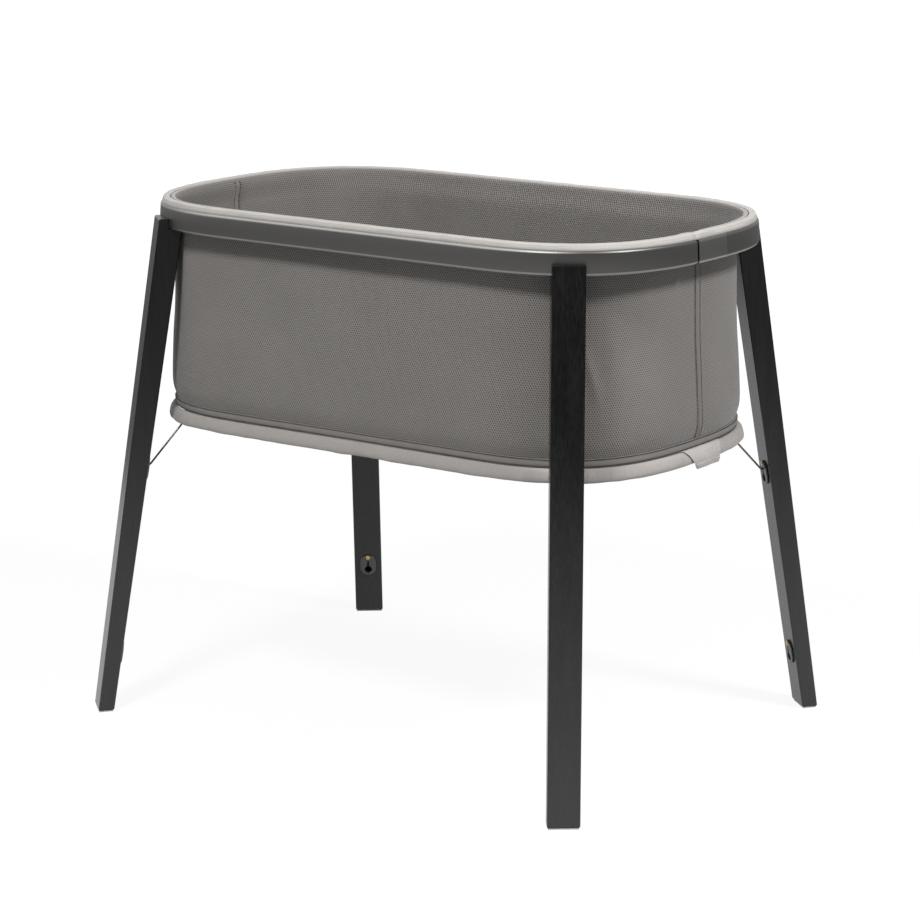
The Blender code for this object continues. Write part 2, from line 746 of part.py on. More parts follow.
for name, corner in CORNERS.items():
    # Leg, cut for the rim, the keyhole pockets, the bracket and the screws.
    leg = add_part("leg_" + name, mesh_of("leg_" + name, leg_shape(corner)), (0.02, 0.02, 0.02))
    soften = leg.modifiers.new("soften", "BEVEL")
    soften.width = LEG_EDGE
    soften.segments = 2
    soften.limit_method = "ANGLE"
    soften.angle_limit = math.radians(30.0)
    cut(leg, seat_cutter)
    pocket_name = "pockets_" + name
    cut(leg, add_cutter(pocket_name, mesh_of(pocket_name, pocket_shape(corner))))
    recess_name = "recess_" + name
    recess = prism(corner, recess_loop(corner), BRACKET_HALF + GAP)
    cut(leg, add_cutter(recess_name, mesh_of(recess_name, recess)))

    bolt_frame = inner_frame(corner, bolt_height)

    def bolt_hole(shape):
        start = bolt_frame @ Vector((0.0, 0.0, 5.0 * MM))
        end = bolt_frame @ Vector((0.0, 0.0, -BOLT_LENGTH - 2.0 * MM))
        rod(shape, start, end, BOLT_RADIUS + GAP, 12)

    hole_name = "bolt_hole_" + name
    hole_cutter = add_cutter(hole_name, mesh_of(hole_name, bolt_hole))
    cut(leg, hole_cutter)

    # Clamp bracket and its bolt.
    bracket_name = "leg_bracket_" + name
    bracket_mesh = mesh_of(bracket_name, prism(corner, bracket_loop(corner), BRACKET_HALF))
    bracket = add_part(bracket_name, bracket_mesh, (0.03, 0.03, 0.03), 0.8, 0.45)
    cut(bracket, hole_cutter)
    bolt_points = [
        (0.0, BOLT_HEAD_HEIGHT),
        (BOLT_HEAD * 0.7, BOLT_HEAD_HEIGHT * 0.92),
        (BOLT_HEAD, BOLT_HEAD_HEIGHT * 0.6),
        (BOLT_HEAD, GAP),
        (BOLT_RADIUS, GAP),
        (BOLT_RADIUS, -BOLT_LENGTH),
        (0.0, -BOLT_LENGTH),
    ]
    bolt_name = "leg_bolt_" + name
    bolt_mesh = half_section(bolt_name, bolt_points)
    bolt = lathe(add_part(bolt_name, bolt_mesh, (0.2, 0.2, 0.2), 1.0, 0.4))
    bolt.matrix_world = bolt_frame

    # Foot pad.
    def pad_shape(shape):
        bmesh.ops.create_cube(shape, size=2.0)
        middle = (outer_face(corner, 0.0) + inner_face(corner, 0.0)) / 2
        half_width = LEG_WIDTH / 2 - PAD_MARGIN
        half_depth = leg_depth(0.0) / 2 - PAD_MARGIN
        for vert in shape.verts:
            across = face_across(corner) * math.copysign(half_width, vert.co.x)
            out = face_normal(corner) * math.copysign(half_depth, vert.co.y)
            height = PAD_HEIGHT if vert.co.z > 0 else 0.0
            vert.co = middle + across + out
            vert.co.z = height
        upright = [e for e in shape.edges if abs(e.verts[0].co.z - e.verts[1].co.z) > MM]
        bmesh.ops.bevel(
            shape, geom=upright, offset=PAD_CORNER, segments=2, affect="EDGES", profile=0.5
        )

    add_part("foot_pad_" + name, mesh_of("foot_pad_" + name, pad_shape), (0.5, 0.5, 0.5))

    # Keyhole plates and their screws.
    for level, low in (("low", PLATE_LOW), ("high", PLATE_HIGH)):
        frame = inner_frame(corner, low)
        plate_name = "keyhole_plate_" + level + "_" + name
        curve = flat_curve(plate_name, [plate_loop, keyhole_loop, screw_loop])
        curve.extrude = PLATE_THICK / 2 - PLATE_CHAMFER
        curve.bevel_depth = PLATE_CHAMFER
        curve.bevel_resolution = 0
        plate = add_part(plate_name, curve, (0.03, 0.03, 0.03))
        plate.matrix_world = frame @ Matrix.Translation((0.0, 0.0, GAP + PLATE_THICK / 2))
        proud = GAP + PLATE_THICK + GAP
        screw_points = [
            (0.0, proud + SCREW_HEAD_HEIGHT),
            (SCREW_HEAD * 0.6, proud + SCREW_HEAD_HEIGHT * 0.92),
            (SCREW_HEAD, proud + SCREW_HEAD_HEIGHT * 0.35),
            (SCREW_HEAD, proud),
            (SCREW_SHANK, proud),
            (SCREW_SHANK, -SCREW_LENGTH),
            (0.0, -SCREW_LENGTH),
        ]
        screw_name = "plate_screw_" + level + "_" + name
        screw_mesh = half_section(screw_name, screw_points)
        screw = lathe(add_part(screw_name, screw_mesh, (0.5, 0.36, 0.15), 1.0, 0.35), 10)
        screw.matrix_world = frame @ Matrix.Translation((0.0, screw_centre, 0.0))

    # Stay wire with its ball and stem in the upper keyhole, and its anchor under the base.
    frame = inner_frame(corner, PLATE_HIGH)
    ball_place = frame @ Matrix.Translation((0.0, ball_rest, 0.0))
    ball_behind = BALL_RADIUS - GAP
    stem_angle = math.degrees(math.acos(WIRE_RADIUS / BALL_RADIUS))
    ball_points = [(0.0, STEM_END), (WIRE_RADIUS, STEM_END)]
    ball_points += arc(0.0, -ball_behind, BALL_RADIUS, stem_angle, -90.0, 6)
    ball_points[-1] = (0.0, -ball_behind - BALL_RADIUS)
    ball_name = "wire_ball_" + name
    ball = lathe(add_part(ball_name, half_section(ball_name, ball_points), (0.4, 0.4, 0.4), 1.0, 0.3))
    ball.matrix_world = ball_place

    sx, sy = corner
    anchor = outline_point(ANCHOR_ANGLE, HOOP_INSET + ANCHOR_INSET, HOOP_HEIGHT - ANCHOR_BELOW)
    anchor.x *= sx
    anchor.y *= sy
    stem_end = ball_place @ Vector((0.0, 0.0, STEM_END))
    along = (anchor - stem_end).normalized()
    wire_start = stem_end + along * WIRE_START

    def wire_shape(shape):
        rod(shape, wire_start, anchor, WIRE_RADIUS, 10)

    wire_name = "stay_wire_" + name
    add_part(wire_name, mesh_of(wire_name, wire_shape), (0.4, 0.4, 0.4), 1.0, 0.3)

    def anchor_shape(shape):
        bmesh.ops.create_cube(shape, size=2.0)
        flat = Vector((along.x, along.y, 0.0)).normalized()
        side = Vector((-flat.y, flat.x, 0.0))
        top = board_low - GAP
        for vert in shape.verts:
            place = anchor + flat * vert.co.x * ANCHOR_LENGTH / 2
            place += side * vert.co.y * ANCHOR_WIDTH / 2
            place.z = top if vert.co.z > 0 else anchor.z - ANCHOR_BELOW
            vert.co = place

    def anchor_hole(shape):
        start = anchor - along * ANCHOR_LENGTH * 2
        rod(shape, start, anchor + along * ANCHOR_GRIP, WIRE_RADIUS + GAP, 10)

    anchor_name = "stay_anchor_" + name
    block = add_part(anchor_name, mesh_of(anchor_name, anchor_shape), (0.05, 0.05, 0.05))
    anchor_hole_name = "anchor_hole_" + name
    cut(block, add_cutter(anchor_hole_name, mesh_of(anchor_hole_name, anchor_hole)))
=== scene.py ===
import math
import random

import bmesh
import bpy
import numpy as np
from mathutils import Matrix, Vector


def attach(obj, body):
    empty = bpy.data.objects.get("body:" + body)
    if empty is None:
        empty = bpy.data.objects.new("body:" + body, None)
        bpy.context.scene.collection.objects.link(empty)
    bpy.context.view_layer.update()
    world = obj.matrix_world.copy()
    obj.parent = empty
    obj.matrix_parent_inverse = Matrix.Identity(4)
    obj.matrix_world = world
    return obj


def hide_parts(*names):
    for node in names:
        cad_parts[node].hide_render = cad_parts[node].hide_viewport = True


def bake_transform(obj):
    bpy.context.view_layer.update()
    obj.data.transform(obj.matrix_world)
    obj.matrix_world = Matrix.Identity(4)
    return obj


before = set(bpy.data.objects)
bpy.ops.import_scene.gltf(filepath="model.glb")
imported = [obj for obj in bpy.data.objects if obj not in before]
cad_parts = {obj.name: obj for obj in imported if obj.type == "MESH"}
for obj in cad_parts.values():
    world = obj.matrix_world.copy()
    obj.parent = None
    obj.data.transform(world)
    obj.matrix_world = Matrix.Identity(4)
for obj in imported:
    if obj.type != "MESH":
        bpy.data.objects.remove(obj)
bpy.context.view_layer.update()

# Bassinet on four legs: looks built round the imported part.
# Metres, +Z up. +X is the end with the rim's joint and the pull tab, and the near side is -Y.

# Camera: the photo's place, angle and lens, found from the outlines of the rim and the legs.
# It looks at the long side and the joint end from a little above the rim.
scene = bpy.context.scene
scene.view_settings.view_transform = "Standard"


def put_in(name, data):
    """A new object in the scene that holds this data."""
    made = bpy.data.objects.new(name, data)
    scene.collection.objects.link(made)
    return made


camera_data = bpy.data.cameras.new("photo_camera")
camera_data.sensor_width = 36.0
camera_data.lens = 110.475
camera = put_in("photo_camera", camera_data)
camera.matrix_world = Matrix(
    (
        (0.80086, -0.13860, 0.58259, 2.45134),
        (0.59884, 0.19066, -0.77784, -3.25814),
        (-0.00327, 0.97182, 0.23569, 1.37205),
        (0.0, 0.0, 0.0, 1.0),
    )
)
scene.camera = camera

# Surroundings: a white studio. The camera sees plain white. Gloss sees it brighter on the left, dimmer
# on the camera's own side, where the studio is open, and lit by a soft box high on the left.
fill_light = 0.24
open_side_gloss = 0.12
soft_box_gloss = 3.8
front_way = (0.583, -0.778, 0.0)
left_way = (-0.8, -0.6, 0.0)
soft_box_way = (-0.470, -0.439, 0.766)
world = bpy.data.worlds.new("studio")
scene.world = world
world.use_nodes = True
sky = world.node_tree
sky.nodes.clear()


def calc(tree, operation, *values):
    """A Math node's output. Each value is a number or another node's output."""
    node = tree.nodes.new("ShaderNodeMath")
    node.operation = operation
    for socket, value in zip(node.inputs, values):
        if isinstance(value, bpy.types.NodeSocket):
            tree.links.new(value, socket)
        else:
            socket.default_value = value
    return node.outputs[0]


def along_axis(tree, vector, axis):
    """How far a vector reaches along an axis."""
    node = tree.nodes.new("ShaderNodeVectorMath")
    node.operation = "DOT_PRODUCT"
    tree.links.new(vector, node.inputs[0])
    node.inputs[1].default_value = axis
    return node.outputs["Value"]


def ramp(tree, value, span, result=(0.0, 1.0), smooth=True):
    """Carries a value from one span to another and holds it there at both ends."""
    node = tree.nodes.new("ShaderNodeMapRange")
    node.interpolation_type = "SMOOTHSTEP" if smooth else "LINEAR"
    for key, number in zip(("From Min", "From Max", "To Min", "To Max"), (*span, *result)):
        node.inputs[key].default_value = number
    tree.links.new(value, node.inputs["Value"])
    return node.outputs["Result"]


path = sky.nodes.new("ShaderNodeLightPath")
way = sky.nodes.new("ShaderNodeTexCoord").outputs["Generated"]
frontwards = ramp(sky, along_axis(sky, way, front_way), (-0.2, 0.5), (1.0, open_side_gloss))
soft_box = ramp(sky, along_axis(sky, way, soft_box_way), (0.72, 0.94), (0.0, soft_box_gloss))
side_gloss = calc(sky, "MULTIPLY_ADD", along_axis(sky, way, left_way), 0.25, 0.9)
gloss = calc(sky, "MULTIPLY_ADD", frontwards, side_gloss, soft_box)
extra_gloss = calc(sky, "SUBTRACT", gloss, fill_light)
gloss_or_fill = calc(sky, "MULTIPLY_ADD", extra_gloss, path.outputs["Is Glossy Ray"], fill_light)
clear = calc(sky, "MAXIMUM", path.outputs["Is Camera Ray"], path.outputs["Is Transmission Ray"])
up_to_white = calc(sky, "SUBTRACT", 1.0, gloss_or_fill)
backdrop = sky.nodes.new("ShaderNodeBackground")
backdrop.inputs["Color"].default_value = (1.0, 1.0, 1.0, 1.0)
sky.links.new(calc(sky, "MULTIPLY_ADD", up_to_white, clear, gloss_or_fill), backdrop.inputs["Strength"])
sky.links.new(backdrop.outputs["Background"], sky.nodes.new("ShaderNodeOutputWorld").inputs["Surface"])

# Lamps: two soft squares, one high in front of the long side and one high in front of the rounded end.
# Both aim at the basket, and their slant draws the rim's shadow on the cloth.
lamp_aim = Vector((0.0, 0.0, 0.6))
lamp_size = 0.6
lamps = {"side_lamp": ((0.25, -2.20, 3.28), 88.0), "end_lamp": ((2.46, 0.08, 2.96), 91.0)}
for name, (place, watts) in lamps.items():
    data = bpy.data.lights.new(name, "AREA")
    data.shape = "SQUARE"
    data.size = lamp_size
    data.energy = watts
    lamp = put_in(name, data)
    lamp.location = place
    lamp.rotation_euler = (lamp_aim - Vector(place)).to_track_quat("-Z", "Y").to_euler()

# Floor: white to the camera and keeping the object's faint shadow. Gloss sees it dimmer some way off,
# where the studio's white floor ends, and most of all in front.
floor_half = 12.0
floor_drop = 0.0002
near_white = 0.925
floor_end = (1.5, 2.8)
floor_mesh = bpy.data.meshes.new("floor")
floor_shape = bmesh.new()
bmesh.ops.create_grid(floor_shape, x_segments=1, y_segments=1, size=floor_half)
floor_shape.to_mesh(floor_mesh)
floor_shape.free()
floor = put_in("floor", floor_mesh)
floor.location.z = -floor_drop
floor_paint = bpy.data.materials.new("floor_paint")
floor_paint.use_nodes = True
tree = floor_paint.node_tree
tree.nodes.clear()
ray = tree.nodes.new("ShaderNodeLightPath")
sight = calc(tree, "MAXIMUM", ray.outputs["Is Camera Ray"], ray.outputs["Is Glossy Ray"])
sight = calc(tree, "MAXIMUM", sight, ray.outputs["Is Transmission Ray"])
spot = tree.nodes.new("ShaderNodeNewGeometry").outputs["Position"]
from_middle = tree.nodes.new("ShaderNodeVectorMath")
from_middle.operation = "LENGTH"
tree.links.new(spot, from_middle.inputs[0])
away = ramp(tree, from_middle.outputs["Value"], floor_end)
ahead = calc(tree, "MULTIPLY_ADD", along_axis(tree, spot, front_way), -0.13, 0.86)
darker = calc(tree, "MINIMUM", calc(tree, "MULTIPLY", away, calc(tree, "MAXIMUM", ahead, 0.42)), 0.80)
dimmed = calc(tree, "MULTIPLY", darker, ray.outputs["Is Glossy Ray"])
white = calc(tree, "MULTIPLY_ADD", away, 1.0 - near_white, near_white)
glow = tree.nodes.new("ShaderNodeEmission")
tree.links.new(calc(tree, "MULTIPLY", calc(tree, "SUBTRACT", 1.0, dimmed), white), glow.inputs["Strength"])
matt = tree.nodes.new("ShaderNodeBsdfDiffuse")
matt.inputs["Color"].default_value = (0.10, 0.10, 0.10, 1.0)
seen = tree.nodes.new("ShaderNodeAddShader")
tree.links.new(glow.outputs[0], seen.inputs[0])
tree.links.new(matt.outputs[0], seen.inputs[1])
dull = tree.nodes.new("ShaderNodeBsdfDiffuse")
dull.inputs["Color"].default_value = (0.5, 0.495, 0.485, 1.0)
pick = tree.nodes.new("ShaderNodeMixShader")
tree.links.new(sight, pick.inputs["Fac"])
tree.links.new(dull.outputs[0], pick.inputs[1])
tree.links.new(seen.outputs[0], pick.inputs[2])
tree.links.new(pick.outputs[0], tree.nodes.new("ShaderNodeOutputMaterial").inputs["Surface"])
floor.data.materials.append(floor_paint)

# Rim band: one strip of powder-coated metal, bent to the oval and open on the inside. Its ends meet
# under the cover at the +X end, and the legs hold it in their notches. A run is a distance round its
# outline, which is 0 at the middle of the +X end and grows counterclockwise.
MM = 0.001
rim_half_length, rim_half_width, end_reach = 0.449, 0.2593, 0.2442
end_power = 2.69 / 1.69
half_turn = 1500
turn = np.linspace(-math.pi / 2 + 1e-6, math.pi / 2 - 1e-6, 2 * half_turn + 1)
turn_cos, turn_sin = np.cos(turn), np.sin(turn)
end_sum = (end_reach * turn_cos) ** end_power + (rim_half_width * np.abs(turn_sin)) ** end_power
end_scale = (end_sum ** (1 / end_power)) ** (end_power - 1)
end_x = rim_half_length - end_reach + end_reach**end_power * turn_cos ** (end_power - 1) / end_scale
end_y = rim_half_width**end_power * np.abs(turn_sin) ** (end_power - 1) / end_scale
end_points = np.stack([end_x, np.sign(turn_sin) * end_y], 1)
end_normals = np.stack([turn_cos, turn_sin], 1)
rim_points = np.concatenate([end_points[half_turn:], -end_points, end_points[: half_turn + 1]])
rim_normals = np.concatenate([end_normals[half_turn:], -end_normals, end_normals[: half_turn + 1]])
rim_run = np.concatenate([[0.0], np.cumsum(np.linalg.norm(np.diff(rim_points, axis=0), axis=1))])
rim_length = rim_run[-1]


def rim_at(run):
    """Points and unit normals at these runs."""
    run = np.mod(run, rim_length)
    point = np.stack([np.interp(run, rim_run, rim_points[:, i]) for i in (0, 1)], 1)
    normal = np.stack([np.interp(run, rim_run, rim_normals[:, i]) for i in (0, 1)], 1)
    return point, normal / np.linalg.norm(normal, axis=1)[:, None]


def run_at(y):
    """The run where the rim's +X end crosses this y."""
    near = 1200
    middle = np.concatenate([rim_points[-near:-1], rim_points[:near]])
    runs = np.concatenate([rim_run[-near:-1] - rim_length, rim_run[:near]])
    return float(np.interp(y, middle[:, 1], runs))


def grid_mesh(name, places, uv, ring, loop=True):
    """A mesh of rows and columns. The rows close on themselves if loop, the columns if ring."""
    rows, columns = places.shape[:2]
    r = np.arange(rows if loop else rows - 1)
    c = np.arange(columns if ring else columns - 1)
    r, c = (v.ravel() for v in np.meshgrid(r, c, indexing="ij"))
    r2, c2 = (r + 1) % rows, (c + 1) % columns
    faces = np.stack([r * columns + c, r * columns + c2, r2 * columns + c2, r2 * columns + c], 1)
    faces = faces.tolist()
    if not ring and loop:
        faces.append([row * columns for row in range(rows)])
        faces.append([row * columns + columns - 1 for row in range(rows)][::-1])
    data = bpy.data.meshes.new(name)
    data.from_pydata(places.reshape(-1, 3).tolist(), [], faces)
    layer = data.uv_layers.new(name="UVMap")
    u, v = uv
    corner = np.stack([u[c], v[r], u[c + 1], v[r], u[c + 1], v[r + 1], u[c], v[r + 1]], 1)
    values = np.zeros(len(data.loops) * 2)
    values[: corner.size] = corner.ravel()
    layer.data.foreach_set("uv", values)
    bm = bmesh.new()
    bm.from_mesh(data)
    bmesh.ops.recalc_face_normals(bm, faces=bm.faces)
    bm.to_mesh(data)
    bm.free()
    return put_in(name, data)


def sweep(name, profile, runs, ring, relief=None):
    """A section of (inset, height) points carried round the rim's outline."""
    profile = np.array(profile, float)
    point, normal = rim_at(runs)
    inset = np.repeat(profile[:, :1], len(runs), 1)
    height = np.repeat(profile[:, 1:], len(runs), 1)
    if relief is not None:
        inset, height = relief(inset, height, np.repeat(runs[None], len(profile), 0))
    x = point[:, 0] - normal[:, 0] * inset
    y = point[:, 1] - normal[:, 1] * inset
    across = np.linalg.norm(np.diff(profile, axis=0, append=profile[:1]), axis=1)
    v = np.concatenate([[0.0], np.cumsum(across)])
    u = np.append(runs, 2 * runs[-1] - runs[-2] if ring else runs[-1])
    return grid_mesh(name, np.stack([x, y, height], 2), (u, v), ring)


def paint(name, colour, rough, metal=0.0):
    """A new material: its name, its node tree and its shader."""
    made = bpy.data.materials.new(name)
    made.use_nodes = True
    shader = made.node_tree.nodes["Principled BSDF"]
    shader.inputs["Base Color"].default_value = (*colour, 1.0)
    shader.inputs["Roughness"].default_value = rough
    shader.inputs["Metallic"].default_value = metal
    return made, made.node_tree, shader


def noise_of(tree, scale, detail=2.0, vector=None):
    """A Noise Texture's value, in the object's own metres unless a vector is given."""
    node = tree.nodes.new("ShaderNodeTexNoise")
    node.inputs["Scale"].default_value = scale
    node.inputs["Detail"].default_value = detail
    if vector is None:
        vector = tree.nodes.new("ShaderNodeTexCoord").outputs["Object"]
    tree.links.new(vector, node.inputs["Vector"])
    return node.outputs["Fac"]


def height_in(tree):
    """The object's own Z in metres."""
    node = tree.nodes.new("ShaderNodeSeparateXYZ")
    tree.links.new(tree.nodes.new("ShaderNodeTexCoord").outputs["Object"], node.inputs[0])
    return node.outputs["Z"]


def mix_colour(tree, factor, first, second):
    """A blend of two colours. Each is a red, green and blue share or another node's output."""
    node = tree.nodes.new("ShaderNodeMix")
    node.data_type = "RGBA"
    tree.links.new(factor, node.inputs["Factor"])
    for key, colour in (("A", first), ("B", second)):
        if isinstance(colour, bpy.types.NodeSocket):
            tree.links.new(colour, node.inputs[key])
        else:
            node.inputs[key].default_value = (*colour, 1.0)
    return node.outputs["Result"]


def mottle(tree, shader, factor, first, second):
    """Gives a shader a base colour that goes from one colour to another by a factor."""
    tree.links.new(mix_colour(tree, factor, first, second), shader.inputs["Base Color"])


def bump(tree, shader, height, distance, strength=1.0):
    """Raises a shader's surface by a height that goes from 0 to 1."""
    node = tree.nodes.new("ShaderNodeBump")
    node.inputs["Strength"].default_value = strength
    node.inputs["Distance"].default_value = distance
    tree.links.new(height, node.inputs["Height"])
    tree.links.new(node.outputs["Normal"], shader.inputs["Normal"])


def coated_metal(name, colour, lip_highlight):
    """A satin coat over metal, painted lighter along the strip's bottom lip: a painted highlight where the
    lip catches light.
    """
    made, tree, shader = paint(name, colour, 0.40, 0.92)
    bump(tree, shader, noise_of(tree, 1400.0, 3.0), 0.00006, 0.6)
    # Painted highlight: below the lip's top the coat turns to the lighter colour.
    mottle(tree, shader, ramp(tree, height_in(tree), (0.7325, 0.7315), smooth=False), colour, lip_highlight)
    return made


def wear(node, material, angle):
    """Gives a piece its material and smooth shading up to an angle."""
    node.data.materials.clear()
    node.data.materials.append(material)
    for face in node.data.polygons:
        face.use_smooth = True
    sharp = math.radians(angle)
    bm = bmesh.new()
    bm.from_mesh(node.data)
    for edge in bm.edges:
        edge.smooth = not (len(edge.link_faces) == 2 and edge.calc_face_angle() > sharp)
    bm.to_mesh(node.data)
    bm.free()
    return node


coat = coated_metal("rim_coat", (0.120, 0.118, 0.114), (0.215, 0.212, 0.206))
rim_low, rim_top = 0.7284, 0.7620
strip_gap = (-0.0445, 0.0310)
strip_corner = 0.0045
edge_round = 0.0008
lip = [(4.2, 728.4), (2.3, 728.45), (1.9, 728.7), (1.1, 730.0), (0.2, 731.6), (0.0, 732.3)]
quarter_turn = [math.radians(180 - 90 * i / 14) for i in range(15)]
shoulder = [(7.0 + 5.2 * math.cos(a), 756.5 + 5.5 * math.sin(a)) for a in quarter_turn]
channel = [(20.8, 762.0), (20.8, 759.5), (5.2, 759.5), (4.0, 757.0), (2.5, 734.0), (2.5, 730.9)]
channel += [(20.8, 730.9), (20.8, 728.4)]
rim_profile = np.array(lip + shoulder + channel) * MM


def soft_ends(first, last, corner=0.0):
    """A relief that rounds a strip's outer face over at its ends, and the far end's corners too."""

    def relief(inset, height, runs):
        near = np.clip(np.minimum(np.abs(runs - first), np.abs(last - runs)) / edge_round, 0.0, 1.0)
        drop = edge_round * (1.0 - np.sqrt(1.0 - (1.0 - near) ** 2))
        outer = np.clip(1.0 - inset / 0.0026, 0.0, 1.0)
        far = np.clip(1.0 - (last - runs) / corner, 0.0, 1.0) if corner else 0.0
        cut = corner * (1.0 - np.sqrt(1.0 - far**2))
        return inset + drop * outer, np.clip(height, rim_low + cut, rim_top - cut)

    return relief


def runs_between(first, last, count):
    """Runs from first to last, set closer together over the last 3 mm at both ends."""
    fine = np.array([0.0, 0.1, 0.25, 0.5, 0.9, 1.4, 2.0, 2.7]) * MM
    return np.concatenate([first + fine, np.linspace(first + 0.003, last - 0.003, count), last - fine[::-1]])


strip_first, strip_last = run_at(strip_gap[1]), run_at(strip_gap[0]) + rim_length
strip_runs = runs_between(strip_first, strip_last, 700)
band = sweep("rim_strip", rim_profile, strip_runs, False, soft_ends(strip_first, strip_last, strip_corner))
wear(band, coat, 40.0)
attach(band, "stand_and_basket")
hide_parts("rim_band")

# Joint cover: a short piece of the same section in a slightly lighter coat, over the strip's ends.
# It is held by the black plastic core inside the channel.
cover_span = (-0.0400, 0.0307)
cover_coat = coated_metal("cover_coat", (0.164, 0.162, 0.158), (0.250, 0.247, 0.240))
cover_first, cover_last = run_at(cover_span[0]), run_at(cover_span[1])
cover_runs = runs_between(cover_first, cover_last, 40)
cover = sweep("joint_cover", rim_profile, cover_runs, False, soft_ends(cover_first, cover_last))
wear(cover, cover_coat, 40.0)
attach(cover, "stand_and_basket")
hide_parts("rim_joint_cover")


def dress(name, material):
    """Gives a node of the frame its finish and leaves its shape alone."""
    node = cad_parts[name]
    node.data.materials.clear()
    node.data.materials.append(material)


core_black, tree, shader = paint("core_black", (0.006, 0.006, 0.006), 0.7)
bump(tree, shader, noise_of(tree, 900.0), 0.0001, 0.4)
dress("rim_joint_core", core_black)

# Mesh wall: spacer fabric about 3 mm thick. It is sewn to the hem on top of the rim, rolls over the
# rim's inner edge, hangs inside it and is sewn into the binding at the foot.


def group_node(tree, group, **values):
    """A node that holds a shared group, with these input values."""
    node = tree.nodes.new("ShaderNodeGroup")
    node.node_tree = group
    for key, value in values.items():
        node.inputs[key].default_value = value
    return node


# Spacer mesh, shared by the wall and its end seams: slanting rows of pores with ribs between them. It
# reads UVs in metres, and its pitches are the distances from pore to pore.
spacer = bpy.data.node_groups.new("spacer_mesh", "ShaderNodeTree")
spacer.interface.new_socket("Along", in_out="INPUT", socket_type="NodeSocketFloat")
spacer.interface.new_socket("Up", in_out="INPUT", socket_type="NodeSocketFloat")
spacer.interface.new_socket("Hole", in_out="OUTPUT", socket_type="NodeSocketFloat")
spacer.interface.new_socket("Height", in_out="OUTPUT", socket_type="NodeSocketFloat")
spacer_in = spacer.nodes.new("NodeGroupInput")
spacer_out = spacer.nodes.new("NodeGroupOutput")
spacer_uv = spacer.nodes.new("ShaderNodeSeparateXYZ")
spacer_map = spacer.nodes.new("ShaderNodeUVMap").outputs["UV"]
spacer.links.new(spacer_map, spacer_uv.inputs[0])
drift = calc(spacer, "SUBTRACT", noise_of(spacer, 30.0, 1.0, spacer_map), 0.5)
across = calc(spacer, "MULTIPLY_ADD", drift, 0.0012, spacer_uv.outputs["X"])
upward = calc(spacer, "MULTIPLY_ADD", drift, 0.0008, spacer_uv.outputs["Y"])
turned_across = calc(spacer, "MULTIPLY", across, 2 * math.pi)
wave_across = calc(spacer, "DIVIDE", turned_across, spacer_in.outputs["Along"])
wave_up = calc(spacer, "DIVIDE", calc(spacer, "MULTIPLY", upward, math.pi), spacer_in.outputs["Up"])
rising = calc(spacer, "COSINE", calc(spacer, "SUBTRACT", wave_across, wave_up))
falling = calc(spacer, "COSINE", calc(spacer, "ADD", wave_across, wave_up))
lattice = calc(spacer, "MULTIPLY_ADD", rising, 0.64, calc(spacer, "MULTIPLY", falling, 0.36))
ribs = calc(spacer, "COSINE", calc(spacer, "MULTIPLY", wave_up, 2.0))
pore = ramp(spacer, lattice, (0.05, 0.60))
rib_share = calc(spacer, "MULTIPLY_ADD", ribs, 0.10, 0.10)
hole = calc(spacer, "ADD", calc(spacer, "MULTIPLY", pore, 0.80), rib_share)
spacer.links.new(hole, spacer_out.inputs["Hole"])
spacer.links.new(calc(spacer, "SUBTRACT", 1.0, hole), spacer_out.inputs["Height"])


mesh_cloth, tree, shader = paint("spacer_fabric", (0.2, 0.19, 0.185), 0.92)
mesh_look = group_node(tree, spacer, Along=0.0039, Up=0.0032)
thread = mix_colour(tree, noise_of(tree, 9.0, 3.0), (0.213, 0.200, 0.189), (0.273, 0.256, 0.244))
pit_colour = (0.030, 0.028, 0.026)
# The UV runs down the outer face and then up the inner one, so it tells the two apart.
inner_face_from = 0.3135
mesh_uv = tree.nodes.new("ShaderNodeSeparateXYZ")
tree.links.new(tree.nodes.new("ShaderNodeUVMap").outputs["UV"], mesh_uv.inputs[0])
inside = calc(tree, "GREATER_THAN", mesh_uv.outputs["Y"], inner_face_from)
# Painted shade: the inner face is mixed a little towards the pit colour, darker inside the basket.
inner_face_shade = mix_colour(tree, calc(tree, "MULTIPLY", inside, 0.16), thread, pit_colour)
pits = mix_colour(tree, mesh_look.outputs["Hole"], inner_face_shade, pit_colour)
# The roll's crown is painted paler: partly the pale stitching along it, partly a painted highlight where its
# top catches light.
crown_stitching_and_highlight = ramp(tree, height_in(tree), (0.7668, 0.7694), smooth=False)
mottle(tree, shader, calc(tree, "MULTIPLY", crown_stitching_and_highlight, 0.65), pits, (0.44, 0.42, 0.40))
shader.inputs["Sheen Weight"].default_value = 0.25
shader.inputs["Sheen Roughness"].default_value = 0.5
bump(tree, shader, mesh_look.outputs["Height"], 0.0006, 0.8)


def round_line(points, step):
    """Points in millimetres joined by a smooth line, resampled and turned into metres."""
    points = np.array(points, float)
    padded = np.concatenate([2 * points[:1] - points[1:2], points, 2 * points[-1:] - points[-2:-1]])
    found = []
    for a, b, c, d in zip(padded, padded[1:], padded[2:], padded[3:]):
        count = max(1, int(round(np.linalg.norm(c - b) / step)))
        for t in np.arange(count) / count:
            slope_b, slope_c = (c - a) / 2, (d - b) / 2
            h = (1 + 2 * t) * (1 - t) ** 2, t * (1 - t) ** 2, t * t * (3 - 2 * t), t * t * (t - 1)
            found.append(h[0] * b + h[1] * slope_b + h[2] * c + h[3] * slope_c)
    found.append(points[-1])
    return np.array(found) * MM


